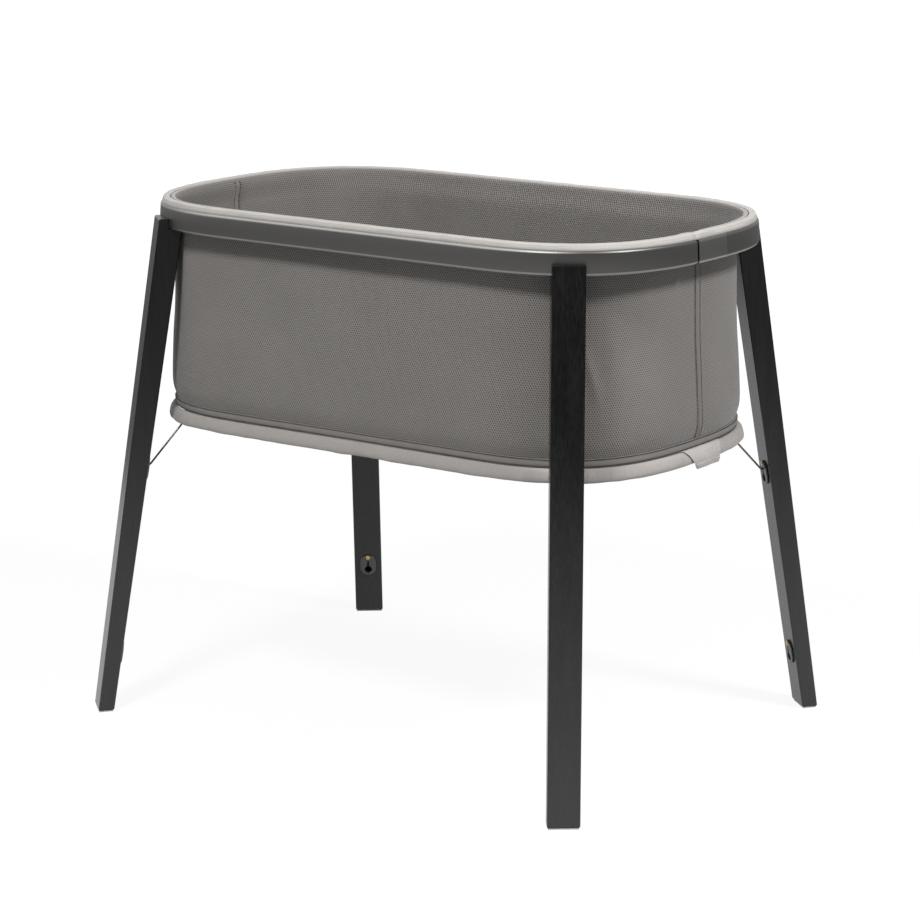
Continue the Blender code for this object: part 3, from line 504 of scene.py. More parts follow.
# The section's points: inset from the rim's face and height, in millimetres.
wall_outer = round_line(
    [(21.8, 762.3), (22.8, 752), (26.9, 733), (27.1, 708), (25, 610), (21.8, 560), (18.8, 503),
     (19.7, 484), (22.6, 474.0), (24.4, 467), (24.8, 457.2)],
    5.0,
)
wall_inner = round_line(
    [(27.7, 457.2), (27.3, 467), (25.4, 475.0), (22.6, 485.4), (21.7, 503), (24.7, 560), (27.9, 610),
     (30.0, 708), (29.8, 733), (27.9, 751), (26.2, 762), (24.6, 766.4), (22.8, 768.4), (20.6, 769.3),
     (18.8, 769.0), (17.5, 767.7), (17.1, 765.2), (17.0, 762.6)],
    2.2,
)
wall_profile = np.concatenate([wall_outer, wall_inner])


def bell(value, centre, width):
    """1 at the centre and fading to 0 about a width away."""
    return np.exp(-(((value - centre) / width) ** 2))


def rough_field(runs, height, size, seed, stretch=1.0):
    """A smooth random field over the ring, from -1 to 1, with features of this size in metres."""
    waves = max(1, round(rim_length / size))
    rand = random.Random(seed)
    total = np.zeros_like(runs)
    for octave in range(1, 5):
        for _ in range(3):
            turns = round(waves * rand.uniform(0.35, 1.1) * octave)
            lean = rand.uniform(-1.0, 1.0) * 2 * math.pi / (size * stretch) * octave
            shift = rand.uniform(0, 6.28)
            total += np.sin(turns * 2 * math.pi * runs / rim_length + lean * height + shift) / octave
    return total / 4.0


def from_joint(runs):
    """Runs counted both ways from the middle of the +X end."""
    return np.mod(runs + rim_length / 2, rim_length) - rim_length / 2


def wall_relief(inset, height, runs):
    """Slow hollows and swells, a crease by the front leg and the roll's waver by the joint."""
    low, top = 0.456, 0.728
    share = np.clip((height - low) / (top - low), 0.0, 1.0)
    slack = np.sin(math.pi * share) ** 0.7
    swell = rough_field(runs, height, 0.32, seed=3, stretch=1.2) * 0.0016 * slack
    crease_run = rim_length - 0.2185 - (height - 0.6) * 0.30
    crease = bell(runs, crease_run, 0.009) * bell(height, 0.588, 0.040) * -0.0034
    spot = bell(runs, rim_length * 0.36, 0.02) * bell(height, 0.69, 0.03) * 0.0018
    above = np.clip((height - 0.752) / 0.012, 0.0, 1.0)
    side = from_joint(runs)
    waver = (bell(side, -0.052, 0.012) - 0.8 * bell(side, -0.024, 0.013)) * 0.0012 * above
    ripple = rough_field(runs, height, 0.11, seed=8, stretch=3.0) * 0.00035 * above
    return inset + swell + crease + spot + waver + ripple, height + (waver + ripple) * 0.4


def all_round(name, profile, count, relief=None):
    """A section carried all the way round the rim's outline in this many steps."""
    return sweep(name, profile, np.linspace(0.0, rim_length, count, endpoint=False), True, relief)


drawn_aside = (0.0046, 0.0028)
foot_rise, foot_slope = 0.0028, 0.0086


def settle(places, lifted=1.0):
    """The basket hangs a few millimetres off centre, and its foot is a little higher at the +X end."""
    x, y, z = (places[..., i] for i in range(3))
    aside = np.clip((0.760 - z) / 0.028, 0.0, 1.0)
    aside = aside * aside * (3.0 - 2.0 * aside)
    low = np.clip((0.70 - z) / 0.23, 0.0, 1.0) * lifted
    lift = (foot_rise + foot_slope * x) * low
    return np.stack([x - drawn_aside[0] * aside, y - drawn_aside[1] * aside, z + lift], -1)


def hang(node, lifted=1.0):
    """Settles a finished piece's points."""
    flat = np.empty(len(node.data.vertices) * 3)
    node.data.vertices.foreach_get("co", flat)
    node.data.vertices.foreach_set("co", settle(flat.reshape(-1, 3), lifted).ravel())
    node.data.update()
    return node


wall = hang(all_round("mesh_wall", wall_profile, 720, wall_relief))
wear(wall, mesh_cloth, 75.0)
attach(wall, "stand_and_basket")
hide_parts("basket_wall")

# Hem strip: smooth light cloth folded over a soft tape on the outer part of the rim's top. Its inner
# edge is sewn to the mesh with one row of stitches.


# Woven cloth, shared by the hem, the binding, the skirt and the tab. It reads UVs in metres, and its
# pitch is the distance from thread to thread.
weave = bpy.data.node_groups.new("weave", "ShaderNodeTree")
weave.interface.new_socket("Pitch", in_out="INPUT", socket_type="NodeSocketFloat")
weave.interface.new_socket("Height", in_out="OUTPUT", socket_type="NodeSocketFloat")
weave_in = weave.nodes.new("NodeGroupInput")
weave_out = weave.nodes.new("NodeGroupOutput")
weave_uv = weave.nodes.new("ShaderNodeSeparateXYZ")
weave.links.new(weave.nodes.new("ShaderNodeUVMap").outputs["UV"], weave_uv.inputs[0])
turns = calc(weave, "DIVIDE", math.pi, weave_in.outputs["Pitch"])
warp = calc(weave, "SINE", calc(weave, "MULTIPLY", weave_uv.outputs["X"], turns))
weft = calc(weave, "SINE", calc(weave, "MULTIPLY", weave_uv.outputs["Y"], turns))
over = calc(weave, "GREATER_THAN", calc(weave, "MULTIPLY", warp, weft), 0.0)
warp_high = calc(weave, "MULTIPLY", calc(weave, "ABSOLUTE", warp), over)
weft_high = calc(weave, "MULTIPLY", calc(weave, "ABSOLUTE", weft), calc(weave, "SUBTRACT", 1.0, over))
weave.links.new(calc(weave, "ADD", warp_high, weft_high), weave_out.inputs["Height"])


hem_cloth, tree, shader = paint("hem_cloth", (0.39, 0.37, 0.355), 0.85)
shader.inputs["Sheen Weight"].default_value = 0.3
hem_tone = noise_of(tree, 30.0, 4.0)
mottle(tree, shader, hem_tone, (0.355, 0.335, 0.318), (0.430, 0.408, 0.390))
bump(tree, shader, group_node(tree, weave, Pitch=0.00045).outputs["Height"], 0.00006, 0.5)
hem_profile = round_line(
    [(5.0, 760.9), (4.6, 762.0), (4.7, 764.2), (5.7, 766.9), (7.8, 768.9), (10.6, 769.7), (13.4, 769.5),
     (15.4, 768.6), (16.4, 767.2), (16.6, 765.2), (16.3, 762.4), (8.0, 762.2)],
    0.9,
)


def hem_relief(inset, height, runs):
    """Fine puckers all round, and the folds and the step by the rim's joint."""
    side = from_joint(runs)
    top = np.clip((height - 0.7625) / 0.005, 0.0, 1.0)
    pucker = rough_field(runs, height, 0.05, seed=5, stretch=2.0) * 0.00028
    inner = np.clip((inset - 0.009) / 0.006, 0.0, 1.0)
    gather = np.sin(runs * 2 * math.pi / rim_length * 330) * 0.00012 * inner
    fold = (bell(side, -0.049, 0.0035) - 0.9 * bell(side, -0.040, 0.004)) * 0.0016
    step = 0.0004 * (1.0 - np.tanh((side - 0.006) / 0.0032)) * bell(side, -0.02, 0.035)
    wrinkle = np.sin(side * 620 + inset * 900) * 0.0005 * bell(side, -0.012, 0.024)
    ply_line = np.sin(inset * 2 * math.pi / 0.0031 + rough_field(runs, height * 0, 0.12, seed=6)) * 0.00045
    lift = (pucker + gather + fold + step + wrinkle + ply_line) * top
    return inset - lift * 0.35, np.minimum(height + lift, 0.7703)


hem = all_round("hem_strip", hem_profile, 1320, hem_relief)
wear(hem, hem_cloth, 75.0)
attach(hem, "stand_and_basket")
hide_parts("top_hem")
stitch_pitch = 0.0034
dark_thread, tree, shader = paint("dark_thread", (0.05, 0.047, 0.045), 0.8)


def stitches(name, spots, ways, ups, length, thick, material, slot):
    """Short threads lying along ways, each a little sunk at both ends."""
    sides = 5
    ring = np.linspace(0, 2 * math.pi, sides, endpoint=False)
    share = np.array([-1.0, -0.72, 0.0, 0.72, 1.0])
    size = np.array([0.25, 0.85, 1.0, 0.85, 0.25])
    sink = np.array([-0.55, -0.05, 0.12, -0.05, -0.55])
    third = np.cross(ways, ups)
    centre = spots[:, None] + ways[:, None] * share[None, :, None] * length / 2
    centre = centre + ups[:, None] * (sink * thick)[None, :, None]
    wide = (size[:, None] * np.cos(ring) * thick / 2)[None, :, :, None]
    tall = (size[:, None] * np.sin(ring) * thick / 2)[None, :, :, None]
    places = centre[:, :, None] + third[:, None, None] * wide + ups[:, None, None] * tall
    count = len(spots)
    faces = []
    for k in range(count):
        base = k * len(share) * sides
        for i in range(len(share) - 1):
            for j in range(sides):
                n = (j + 1) % sides
                low, high = base + i * sides, base + (i + 1) * sides
                faces.append((low + j, low + n, high + n, high + j))
        faces.append(tuple(base + j for j in range(sides))[::-1])
        faces.append(tuple(base + (len(share) - 1) * sides + j for j in range(sides)))
    data = bpy.data.meshes.new(name)
    data.from_pydata(places.reshape(-1, 3).tolist(), [], faces)
    made = put_in(name, data)
    wear(made, material, 60.0)
    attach(made, "stand_and_basket")
    return made


def ring_stitches(name, inset, height, tilt, slot, thick):
    """A row of dark stitches all round. Tilt turns the thread's face from outwards to up."""
    count = round(rim_length / stitch_pitch)
    point, normal = rim_at((np.arange(count) + 0.5) * rim_length / count)
    spots = np.concatenate([point - normal * inset, np.full((count, 1), height)], 1)
    ways = np.stack([-normal[:, 1], normal[:, 0], np.zeros(count)], 1)
    c, s = math.cos(tilt), math.sin(tilt)
    ups = np.stack([normal[:, 0] * c, normal[:, 1] * c, np.full(count, s)], 1)
    return stitches(name, spots, ways, ups, stitch_pitch * 0.8, thick, dark_thread, slot)


ring_stitches("hem_stitches", 0.0159, 0.7681, 1.0, "hem_fabric", 0.0007)

# Binding: a woven tape with turned edges, sewn over the foot of the wall and the top of the skirt
# between two rows of dark stitches.
tape_cloth, tree, shader = paint("binding_cloth", (0.195, 0.185, 0.176), 0.88)
mottle(tree, shader, noise_of(tree, 60.0, 3.0), (0.185, 0.175, 0.167), (0.225, 0.213, 0.203))
bump(tree, shader, group_node(tree, weave, Pitch=0.0007).outputs["Height"], 0.0001, 0.6)
tape_outside = round_line(
    [(23.8, 468.2), (22.4, 468.5), (21.9, 467.7), (22.6, 466.9), (21.7, 466.0), (21.1, 462.2), (21.5, 458.6),
     (22.6, 457.6), (22.0, 456.9), (22.2, 456.1), (23.9, 455.9)],
    0.8,
)


def tape_relief(inset, height, runs):
    """The small pulls of the stitches and soft lumps, on the outer face only."""
    outer = np.clip((0.0233 - inset) / 0.001, 0.0, 1.0)
    pull = np.sin(runs * 2 * math.pi / rim_length * 640) * 0.00010
    lump = rough_field(runs, height, 0.03, seed=11, stretch=2.0) * 0.00018
    return inset + (pull + lump) * outer, height


tape = hang(all_round("binding_tape", tape_outside, 2000, tape_relief))
wear(tape, tape_cloth, 75.0)
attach(tape, "stand_and_basket")
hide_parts("bottom_binding")
hang(ring_stitches("binding_stitches_high", 0.0216, 0.4669, 0.1, "tape_fabric", 0.0017))
hang(ring_stitches("binding_stitches_low", 0.0219, 0.4576, 0.0, "tape_fabric", 0.0010))

# Skirt: light woven cloth sewn into the binding and drawn down round the base hoop. It is gathered at
# the binding, and its lower edge is turned in under the hoop.
skirt_cloth, tree, shader = paint("skirt_cloth", (0.36, 0.34, 0.325), 0.9)
shader.inputs["Sheen Weight"].default_value = 0.2
skirt_tone = noise_of(tree, 24.0, 4.0)
mottle(tree, shader, skirt_tone, (0.318, 0.298, 0.283), (0.366, 0.344, 0.329))
bump(tree, shader, group_node(tree, weave, Pitch=0.0005).outputs["Height"], 0.00008, 0.5)
skirt_profile = round_line(
    [(22.4, 455.4), (20.6, 455.6), (18.2, 454.8), (15.7, 452.4), (13.7, 449.0), (12.2, 445.2), (11.5, 441.2),
     (12.2, 438.0), (13.4, 436.9), (14.6, 437.6), (13.4, 441.4), (13.8, 445.0), (15.1, 448.8), (16.5, 451.6),
     (18.8, 453.6), (22.6, 453.9)],
    1.3,
)


def skirt_relief(inset, height, runs):
    """Gathers that start at the binding and fade towards the hoop, and a slightly waving edge."""
    share = np.clip((0.4550 - height) / 0.018, 0.0, 1.0)
    gathers = rough_field(runs, height, 0.030, seed=21, stretch=3.0) * 0.0014 * (1.0 - 0.9 * share)
    swell = rough_field(runs, height, 0.12, seed=22, stretch=4.0) * 0.0010
    edge = rough_field(runs, height * 0, 0.11, seed=23) * 0.0007 * share**2
    free = np.clip((0.4552 - height) / 0.003, 0.0, 1.0)
    return inset + (gathers + swell) * free, height + edge


skirt = hang(all_round("base_cloth_skirt", skirt_profile, 1200, skirt_relief))
wear(skirt, skirt_cloth, 75.0)
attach(skirt, "stand_and_basket")
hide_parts("base_skirt")

# End seams: flat-felled joins of the mesh at both ends of the basket, with one row of dark stitches and
# one of pale ones. The lap shows outside and inside the wall.
seam_cloth, tree, shader = paint("seam_fabric", (0.15, 0.145, 0.14), 0.9)
seam_look = group_node(tree, spacer, Along=0.0030, Up=0.0026)
mottle(tree, shader, seam_look.outputs["Hole"], (0.255, 0.240, 0.229), (0.06, 0.056, 0.053))
bump(tree, shader, seam_look.outputs["Height"], 0.0005, 0.8)


def wall_line(outside, low, high, count, run):
    """Insets and heights down the wall's outer or inner face at one place round the rim."""
    line = wall_outer if outside else wall_inner
    line = line[np.argsort(line[:, 1])]
    under_the_roll = 0.755 if outside else 0.768
    keep = line[line[:, 1] < under_the_roll]
    height = np.linspace(low, high, count)
    inset = np.interp(height, keep[:, 1], keep[:, 0])
    moved, _ = wall_relief(inset, height.copy(), np.full(count, run))
    return moved, height


def lap_strip(name, run, outside, low, high):
    """A sewn lap on the wall's face, with a thick folded edge on one side."""
    across = np.array([-7.4, -7.3, -6.8, -5.6, -4.6, -2.0, 2.0, 4.4, 5.4, 6.5, 7.3, 7.4]) * MM
    lift = np.array([-0.6, 0.5, 0.9, 0.1, 1.1, 1.6, 1.6, 1.2, 0.1, 1.5, 0.8, -0.6]) * MM
    columns = 130
    places = np.zeros((len(across), columns, 3))
    for row, (side, rise) in enumerate(zip(across, lift)):
        inset, height = wall_line(outside, low, high, columns, run)
        wave = np.sin(height * 900 + row) * 0.00006
        inset = inset - rise - wave if outside else inset + rise + wave
        point, normal = rim_at(np.full(columns, run + side))
        places[row, :, 0] = point[:, 0] - normal[:, 0] * inset
        places[row, :, 1] = point[:, 1] - normal[:, 1] * inset
        places[row, :, 2] = height
    u = np.linspace(0.0, high - low, columns)
    v = np.append(across, across[-1] + MM)
    return grid_mesh(name, places, (u, v), ring=False, loop=False)


def seam_threads(name, run, outside, low, high, thick=0.0018):
    """Two rows of stitches down a lap: the row on its folded edge is dark, the other pale."""
    count = int((high - low) / stitch_pitch)
    inset, height = wall_line(outside, low, high, count, run)
    rise = 0.0005 if outside else -0.0005
    for side, thread, part in ((-0.0056, dark_thread, "_dark"), (0.0054, seam_cloth, "_pale")):
        point, normal = rim_at(np.full(count, run + side))
        flat = point - normal * (inset - rise)[:, None]
        spots = np.concatenate([flat, height[:, None]], 1)
        out = np.concatenate([normal, np.zeros((count, 1))], 1) * (1.0 if outside else -1.0)
        way = np.gradient(spots, axis=0)
        way /= np.linalg.norm(way, axis=1)[:, None]
        out -= way * np.sum(out * way, axis=1)[:, None]
        out /= np.linalg.norm(out, axis=1)[:, None]
        hang(stitches(name + part, spots, way, out, 0.0032, thick, thread, "tape_fabric"))


seam_runs = {"joint": 0.0055, "plain": rim_length / 2 - 0.008}
for end_name, run in seam_runs.items():
    seam_parts = [
        lap_strip("end_seam_cloth_" + end_name, run, True, 0.4690, 0.7300),
        lap_strip("end_seam_inside_" + end_name, run, False, 0.4600, 0.7660),
    ]
    for seam_part in seam_parts:
        hang(seam_part)
        wear(seam_part, seam_cloth, 80.0)
        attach(seam_part, "stand_and_basket")
    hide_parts("end_seam_" + end_name)
    seam_threads("end_seam_threads_" + end_name, run, True, 0.4715, 0.7290)
    # Inside, the threads are thickened so the dark row reads as a near-continuous line: partly stitches,
    # partly a painted shadow in the lap's gap.
    seam_threads("end_seam_inner_threads_and_shadow_" + end_name, run, False, 0.4650, 0.7620, 0.0030)

# Pull tab: a woven strap end that narrows downwards, sewn in under the binding at the +X end. Its
# lower edge is folded to a hem with one row of stitches.
tab_cloth, tree, shader = paint("tab_cloth", (0.40, 0.38, 0.365), 0.85)
tab_tone = noise_of(tree, 60.0, 3.0)
mottle(tree, shader, tab_tone, (0.40, 0.378, 0.363), (0.455, 0.432, 0.416))
bump(tree, shader, group_node(tree, weave, Pitch=0.0008).outputs["Height"], 0.00014, 0.7)
tab_line = round_line(
    [(21.8, 456.2), (20.0, 457.2), (17.6, 457.0), (14.6, 454.4), (12.0, 450.6), (10.4, 446.6), (9.7, 443.2),
     (9.6, 439.0), (9.8, 434.9)],
    1.0,
)
tab_share = np.linspace(0.0, 1.0, len(tab_line))
tab_columns = 60


def tab_face(lift):
    """One face of the strap. It narrows downwards, and its hem is twice as thick."""
    places = np.zeros((len(tab_line), tab_columns, 3))
    for row, ((inset, height), share) in enumerate(zip(tab_line, tab_share)):
        near, far = -0.040 + 0.0265 * share, 0.062 - 0.0185 * share
        across = np.linspace(near, far, tab_columns)
        runs = np.array([run_at(y) for y in across])
        point, normal = rim_at(runs)
        edge = np.minimum(across - near, far - across) / 0.0012
        thick = 0.0006 * np.sqrt(np.clip(edge, 0.0, 1.0)) * (1.0 if share < 0.8 else 2.3)
        wave = np.sin(across * 180.0) * 0.0004 * share + np.sin(across * 90.0 + 1.0) * 0.0005 * share
        off = inset - wave - lift * thick
        places[row, :, 0] = point[:, 0] - normal[:, 0] * off
        places[row, :, 1] = point[:, 1] - normal[:, 1] * off
        places[row, :, 2] = height + np.sin(across * 120.0) * 0.0003 * share
        places[row] = settle(places[row], 1.0 - 0.85 * share)
    return places


tab_outside, tab_inside = tab_face(1.0), tab_face(-1.0)[::-1]
tab_places = np.concatenate([tab_outside, tab_inside])
tab_rows = np.concatenate([tab_share, 1.0 + tab_share, [2.0]]) * 0.034
tab_across = np.linspace(0.0, 0.09, tab_columns + 1)
strap = grid_mesh("tab_strap", tab_places, (tab_across, tab_rows), ring=False)
wear(strap, tab_cloth, 60.0)
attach(strap, "stand_and_basket")
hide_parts("pull_tab")
tab_hem_row = tab_outside[int(len(tab_line) * 0.82)]
tab_stitch_count = 17
tab_hem_pick = np.linspace(2, tab_columns - 3, tab_stitch_count).astype(int)
tab_hem_ways = np.gradient(tab_hem_row, axis=0)
tab_hem_ways /= np.linalg.norm(tab_hem_ways, axis=1)[:, None]
tab_hem_up = np.cross(tab_hem_ways, [0.0, 0.0, 1.0])
tab_seam = [v[tab_hem_pick] for v in (tab_hem_row, tab_hem_ways, tab_hem_up)]
stitches("tab_stitches", *tab_seam, 0.0026, 0.0006, tab_cloth, "strap_fabric")

# Legs: tapered, splayed hardwood stained near black with a satin lacquer. Each is notched at the top
# to seat the rim and drilled behind its keyhole plates.


def stretched(tree, scale):
    """The object's own coordinates with another scale on each axis."""
    node = tree.nodes.new("ShaderNodeMapping")
    node.inputs["Scale"].default_value = scale
    tree.links.new(tree.nodes.new("ShaderNodeTexCoord").outputs["Object"], node.inputs["Vector"])
    return node.outputs["Vector"]


def uneven(tree, shader, noise, spread, least):
    """Lets a shader's roughness rise from a least value over a spread, by a noise."""
    tree.links.new(calc(tree, "MULTIPLY_ADD", noise, spread, least), shader.inputs["Roughness"])


stain, tree, shader = paint("leg_stain", (0.008, 0.008, 0.0085), 0.36)
grain = noise_of(tree, 1.0, 5.0, stretched(tree, (420.0, 420.0, 16.0)))
streak = noise_of(tree, 1.0, 3.0, stretched(tree, (60.0, 60.0, 2.5)))
# The stain is painted lighter towards the foot: a painted reflection of the bright floor, on top of the
# grain's real patchiness.
painted_floor_glow = ramp(tree, height_in(tree), (0.60, 0.02), (0.12, 0.95))
patchy = calc(tree, "MULTIPLY_ADD", calc(tree, "MULTIPLY", grain, streak), 0.5, -0.14)
grain_and_painted_floor_glow = calc(tree, "ADD", painted_floor_glow, patchy)
mottle(tree, shader, grain_and_painted_floor_glow, (0.0012, 0.0012, 0.0015), (0.047, 0.0466, 0.0470))
uneven(tree, shader, grain, 0.14, 0.20)
shader.inputs["IOR"].default_value = 1.36
bump(tree, shader, grain, 0.00008, 0.5)
corners = {"near_joint": (1, -1), "near_plain": (-1, -1), "far_joint": (1, 1), "far_plain": (-1, 1)}


def dress_four(name, material):
    """Gives the nodes of this name at the four corners their finish."""
    for corner in corners:
        dress(name + "_" + corner, material)


dress_four("leg", stain)

# Clamp brackets and bolts: pressed steel strips, painted black, each bolted to its leg's inner face
# under the rim.
bracket_paint, tree, shader = paint("bracket_paint", (0.012, 0.012, 0.012), 0.5)
uneven(tree, shader, noise_of(tree, 500.0), 0.2, 0.4)
dress_four("leg_bracket", bracket_paint)
bolt_steel, tree, shader = paint("bolt_steel", (0.24, 0.24, 0.245), 0.35, 1.0)
uneven(tree, shader, noise_of(tree, 900.0), 0.2, 0.25)
dress_four("leg_bolt", bolt_steel)

# Foot pads: thin light grey rubber pads glued under the legs. Their flat undersides stand on the
# floor.
pad_rubber, tree, shader = paint("pad_rubber", (0.66, 0.66, 0.65), 0.8)
mottle(tree, shader, noise_of(tree, 180.0, 4.0), (0.60, 0.60, 0.59), (0.72, 0.72, 0.71))
bump(tree, shader, noise_of(tree, 900.0, 3.0), 0.0001, 0.5)
dress_four("foot_pad", pad_rubber)

# Keyhole plates: dark grey moulded plates over the pockets on the legs' inner faces, two on each leg.
# Each is held by one screw at its top.
plate_grey, tree, shader = paint("plate_grey", (0.105, 0.105, 0.106), 0.4)
uneven(tree, shader, noise_of(tree, 700.0, 4.0), 0.2, 0.3)
bump(tree, shader, noise_of(tree, 2200.0, 2.0), 0.00005, 0.5)
dress_four("keyhole_plate_low", plate_grey)
dress_four("keyhole_plate_high", plate_grey)

# Plate screws: domed brass screws with a cross recess, one at the top of each plate. Each goes through
# the plate into the leg.
brass, tree, shader = paint("screw_brass", (0.62, 0.44, 0.16), 0.3, 1.0)
mottle(tree, shader, noise_of(tree, 400.0, 4.0), (0.50, 0.34, 0.12), (0.68, 0.49, 0.20))
uneven(tree, shader, noise_of(tree, 800.0, 3.0), 0.25, 0.2)


def applied(node):
    """The node's mesh with its modifiers worked in."""
    return bpy.data.meshes.new_from_object(node.evaluated_get(bpy.context.evaluated_depsgraph_get()))


def screw_head():
    """A domed head, 6.5 mm across, with a cross pressed into it. It stands on z 0."""
    profile = [(0.0, 1.25), (1.1, 1.2), (2.1, 1.02), (2.8, 0.72), (3.15, 0.35), (3.25, 0.0), (1.5, 0.0),
               (1.5, -13.0), (0.0, -13.0)]
    steps = 48
    verts, faces = [], []
    for radius, height in profile:
        for k in range(steps):
            a = 2 * math.pi * k / steps
            verts.append((radius * math.cos(a) * MM, radius * math.sin(a) * MM, height * MM))
    for ring in range(len(profile) - 1):
        for k in range(steps):
            n = (k + 1) % steps
            low, high = ring * steps, (ring + 1) * steps
            faces.append((low + k, high + k, high + n, low + n))
    data = bpy.data.meshes.new("screw_head")
    data.from_pydata(verts, [], faces)
    shape = bmesh.new()
    shape.from_mesh(data)
    bmesh.ops.remove_doubles(shape, verts=shape.verts, dist=0.000001)
    bmesh.ops.recalc_face_normals(shape, faces=shape.faces)
    shape.to_mesh(data)
    shape.free()
    head = put_in("screw_head", data)
    for turned in (0.0, math.pi / 2):
        slot_mesh = bpy.data.meshes.new("cross_slot")
        slot_shape = bmesh.new()
        bmesh.ops.create_cube(slot_shape, size=1.0)
        for vert in slot_shape.verts:
            deep = vert.co.z < 0
            vert.co.x *= (1.4 if deep else 3.9) * MM
            vert.co.y *= (0.5 if deep else 0.75) * MM
            vert.co.z = -0.4 * MM if deep else 2.0 * MM
        slot_shape.to_mesh(slot_mesh)
        slot_shape.free()
        slot_tool = put_in("cross_slot", slot_mesh)
        slot_tool.rotation_euler.z = turned
        press = head.modifiers.new("press", "BOOLEAN")
        press.operation = "DIFFERENCE"
        press.solver = "EXACT"
        press.object = slot_tool
        bpy.context.view_layer.update()
        pressed = applied(head)
        head.modifiers.clear()
        head.data = pressed
        bpy.data.objects.remove(slot_tool)
    found = head.data
    bpy.data.objects.remove(head)
    return found


screw_mesh = screw_head()
# The plates of the corner at +X and +Y: their upward and outward ways and their lower ends.
plate_up = Vector((-0.09416, -0.14183, 0.98540))
plate_out = Vector((-0.61753, -0.76805, -0.16955))
plate_feet = {"low": Vector((0.40904, 0.30311, 0.0676)), "high": Vector((0.38203, 0.26244, 0.3502))}
screw_up, screw_out = 0.0322, 0.00305
for corner, (sx, sy) in corners.items():
    turned = Vector((sx, sy, 1.0))
    up, out = plate_up * turned, plate_out * turned
    facing = Matrix((up.cross(out), up, out)).transposed().to_4x4()
    facing = facing @ Matrix.Rotation(sx * 0.4 + sy * 0.9, 4, "Z")
    for level, foot in plate_feet.items():
        centre = foot * turned + up * screw_up + out * screw_out
        head = put_in("cross_screw_" + level + "_" + corner, screw_mesh.copy())
        head.matrix_world = Matrix.Translation(centre) @ facing
        wear(head, brass, 40.0)
        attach(head, "stand_and_basket")
        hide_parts("plate_screw_" + level + "_" + corner)

# Stay wires: bent steel wires from the base down to the upper keyhole plates. Each has a ball on its
# end, hooked behind its plate, and a black anchor under the base.
wire_steel, tree, shader = paint("wire_steel", (0.14, 0.14, 0.143), 0.34, 1.0)
uneven(tree, shader, noise_of(tree, 1.0, 3.0, stretched(tree, (900.0, 900.0, 200.0))), 0.2, 0.25)
anchor_black, tree, shader = paint("anchor_black", (0.015, 0.015, 0.015), 0.5)
bump(tree, shader, noise_of(tree, 1500.0, 2.0), 0.00006, 0.5)
dress_four("wire_ball", wire_steel)
dress_four("stay_anchor", anchor_black)


def tube(name, line, radius):
    """A round wire along a line of points, closed at both ends."""
    sides = 14
    line = np.array(line)
    way = np.gradient(line, axis=0)
    way /= np.linalg.norm(way, axis=1)[:, None]
    side = np.cross(way, way[0] + way[-1] * 0.5 + np.array([0.3, 0.1, 0.2]))
    side /= np.linalg.norm(side, axis=1)[:, None]
    third = np.cross(way, side)
    turn = np.linspace(0, 2 * math.pi, sides, endpoint=False)
    ring = np.cos(turn)[:, None, None] * side[None] + np.sin(turn)[:, None, None] * third[None]
    places = line[None] + ring * radius
    u = np.linspace(0.0, 0.1, len(line) + 1)
    v = np.linspace(0.0, 2 * math.pi * radius, sides + 1)
    return grid_mesh(name, places, (u, v), ring=False)


anchor_place = Vector((0.35420, 0.19100, 0.44000))
slot_top = 0.0242
wire_radius = 0.0015
bend_steps = 8
for corner, (sx, sy) in corners.items():
    turned = Vector((sx, sy, 1.0))
    up, out = plate_up * turned, plate_out * turned
    rest = plate_feet["high"] * turned + up * slot_top
    stem = rest + out * 0.0038
    anchor = anchor_place * turned
    along = (anchor - stem).normalized()
    bend = stem + out * 0.0014
    line = [rest + out * 0.0030, stem]
    for step in range(1, bend_steps + 1):
        t = step / bend_steps
        line.append(stem * (1 - t) ** 2 + bend * 2 * t * (1 - t) + (bend + along * 0.0030) * t * t)
    bend_end = line[-1].copy()
    line += [bend_end.lerp(anchor, t / 8) for t in range(1, 9)]
    wire = tube("hooked_wire_" + corner, [list(p) for p in line], wire_radius)
    wear(wire, wire_steel, 60.0)
    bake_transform(wire)
    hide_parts("stay_wire_" + corner)

# Base hoop: a steel tube bent to the oval, hidden in the skirt's fold. It holds the basket's foot open
# and takes the pull of the stay wires.
hoop_paint, tree, shader = paint("hoop_paint", (0.10, 0.10, 0.102), 0.45, 0.3)
uneven(tree, shader, noise_of(tree, 300.0, 3.0), 0.2, 0.35)


def round_section(inset, height, radius, sides):
    """A round section of (inset, height) points."""
    angles = [2 * math.pi * i / sides for i in range(sides)]
    return [(inset + radius * math.cos(a), height + radius * math.sin(a)) for a in angles]


hoop = all_round("hoop_tube", round_section(0.0195, 0.4480, 0.0042, sides=20), 360)
hang(hoop, 0.0)
wear(hoop, hoop_paint, 60.0)
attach(hoop, "stand_and_basket")
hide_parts("base_hoop")

# Base board: a thin sheet of plywood with eased edges, cut to the same oval. It lies on the hoop and
# carries the mattress.


def ring_plate(name, rings, columns=360):
    """A closed slab of stacked rings of (inset, height), filled flat at its first and last ring."""
    point, normal = rim_at(np.linspace(0.0, rim_length, columns, endpoint=False))
    verts, faces = [], []
    for inset, height in rings:
        for p, n in zip(point, normal):
            verts.append((p[0] - n[0] * inset, p[1] - n[1] * inset, height))
    for row in range(len(rings) - 1):
        for k in range(columns):
            n = (k + 1) % columns
            low, high = row * columns, (row + 1) * columns
            faces.append((low + k, low + n, high + n, high + k))
    last = (len(rings) - 1) * columns
    faces.append(tuple(range(columns))[::-1])
    faces.append(tuple(last + k for k in range(columns)))
    data = bpy.data.meshes.new(name)
    data.from_pydata(verts, [], faces)
    return put_in(name, data)


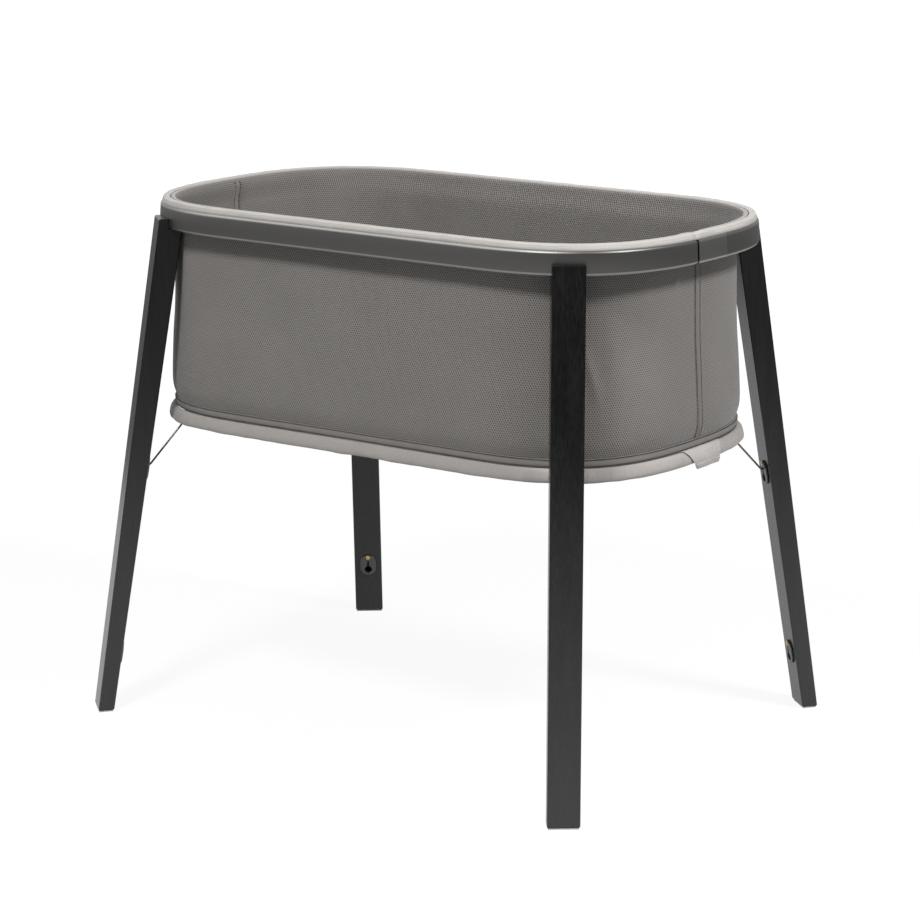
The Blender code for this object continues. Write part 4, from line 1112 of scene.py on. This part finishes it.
ply, tree, shader = paint("base_ply", (0.42, 0.31, 0.19), 0.6)
ply_grain = noise_of(tree, 1.0, 6.0, stretched(tree, (9.0, 160.0, 160.0)))
mottle(tree, shader, ply_grain, (0.33, 0.23, 0.135), (0.56, 0.43, 0.28))
bump(tree, shader, ply_grain, 0.00008, 0.4)
board_rings = [(0.0246, 0.4523), (0.0237, 0.4530), (0.0236, 0.4544), (0.0237, 0.4558), (0.0246, 0.4565)]
board = ring_plate("ply_board", board_rings)
wear(board, ply, 50.0)
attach(board, "stand_and_basket")
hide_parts("base_board")

# Mattress: foam in a quilted cotton cover with a piped seam round its middle. It lies loose on the
# board and lifts out.
cover_cloth, tree, shader = paint("mattress_cloth", (0.50, 0.485, 0.465), 0.9)
cover_tone = noise_of(tree, 12.0, 4.0)
mottle(tree, shader, cover_tone, (0.47, 0.455, 0.435), (0.53, 0.515, 0.495))
shader.inputs["Sheen Weight"].default_value = 0.2
cloth_fine = noise_of(tree, 1.0, 3.0, stretched(tree, (1500.0, 1500.0, 1500.0)))
bump(tree, shader, cloth_fine, 0.0001, 0.4)
pad_low, pad_top = 0.4571, 0.4880
pad_rings = [
    (0.0440, pad_low), (0.0385, pad_low + 0.0014), (0.0356, pad_low + 0.006), (0.0354, pad_low + 0.012),
    (0.0362, (pad_low + pad_top) / 2), (0.0354, pad_top - 0.012), (0.0356, pad_top - 0.006),
    (0.0385, pad_top - 0.0014), (0.0440, pad_top), (0.08, pad_top + 0.0004), (0.12, pad_top + 0.0006),
]
pad = ring_plate("mattress_pad", pad_rings, 240)
remesh = pad.modifiers.new("even", "REMESH")
remesh.mode = "VOXEL"
remesh.voxel_size = 0.0055
bpy.context.view_layer.update()
even_mesh = applied(pad)
pad.modifiers.clear()
pad.data = even_mesh
start = np.array([v.co for v in pad.data.vertices])
most_swell = 0.004
last_frame = 12
swell = pad.modifiers.new("swell", "CLOTH")
swell.settings.use_pressure = True
swell.settings.uniform_pressure_force = 4.0
swell.settings.effector_weights.gravity = 0.0
swell.settings.tension_stiffness = 30.0
swell.settings.compression_stiffness = 30.0
swell.settings.bending_stiffness = 2.0
for frame_number in range(1, last_frame + 1):
    scene.frame_set(frame_number)
moved_mesh = applied(pad)
moved = np.array([v.co for v in moved_mesh.vertices])
pad.modifiers.clear()
scene.frame_set(1)
step = moved - start
far = np.linalg.norm(step, axis=1)
step *= np.minimum(1.0, most_swell / np.maximum(far, 1e-9))[:, None]
start = start + step
quilt_size, quilt_depth = 0.055, 0.0022
pad_highest = 0.4916
x, y, z = start.T
one_way, other_way = (x + y) * math.pi / quilt_size, (x - y) * math.pi / quilt_size
quilt = np.abs(np.sin(one_way) * np.sin(other_way))
on_top = np.clip((z - pad_top + 0.004) / 0.004, 0.0, 1.0)
z = z + (quilt**0.5 - 0.75) * quilt_depth * on_top
z = np.clip(z, pad_low, pad_highest)
pad.data.vertices.foreach_set("co", np.stack([x, y, z], 1).astype(np.float32).ravel())
pad.data.update()
finer = pad.modifiers.new("finer", "SUBSURF")
finer.levels = 1
finer.render_levels = 1
bpy.context.view_layer.update()
fine_mesh = applied(pad)
pad.modifiers.clear()
pad.data = fine_mesh
wear(pad, cover_cloth, 80.0)
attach(pad, "mattress")
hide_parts("mattress")
piping = all_round("mattress_piping", round_section(0.0352, 0.4725, 0.0016, sides=10), 480)
wear(piping, cover_cloth, 80.0)
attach(piping, "mattress")
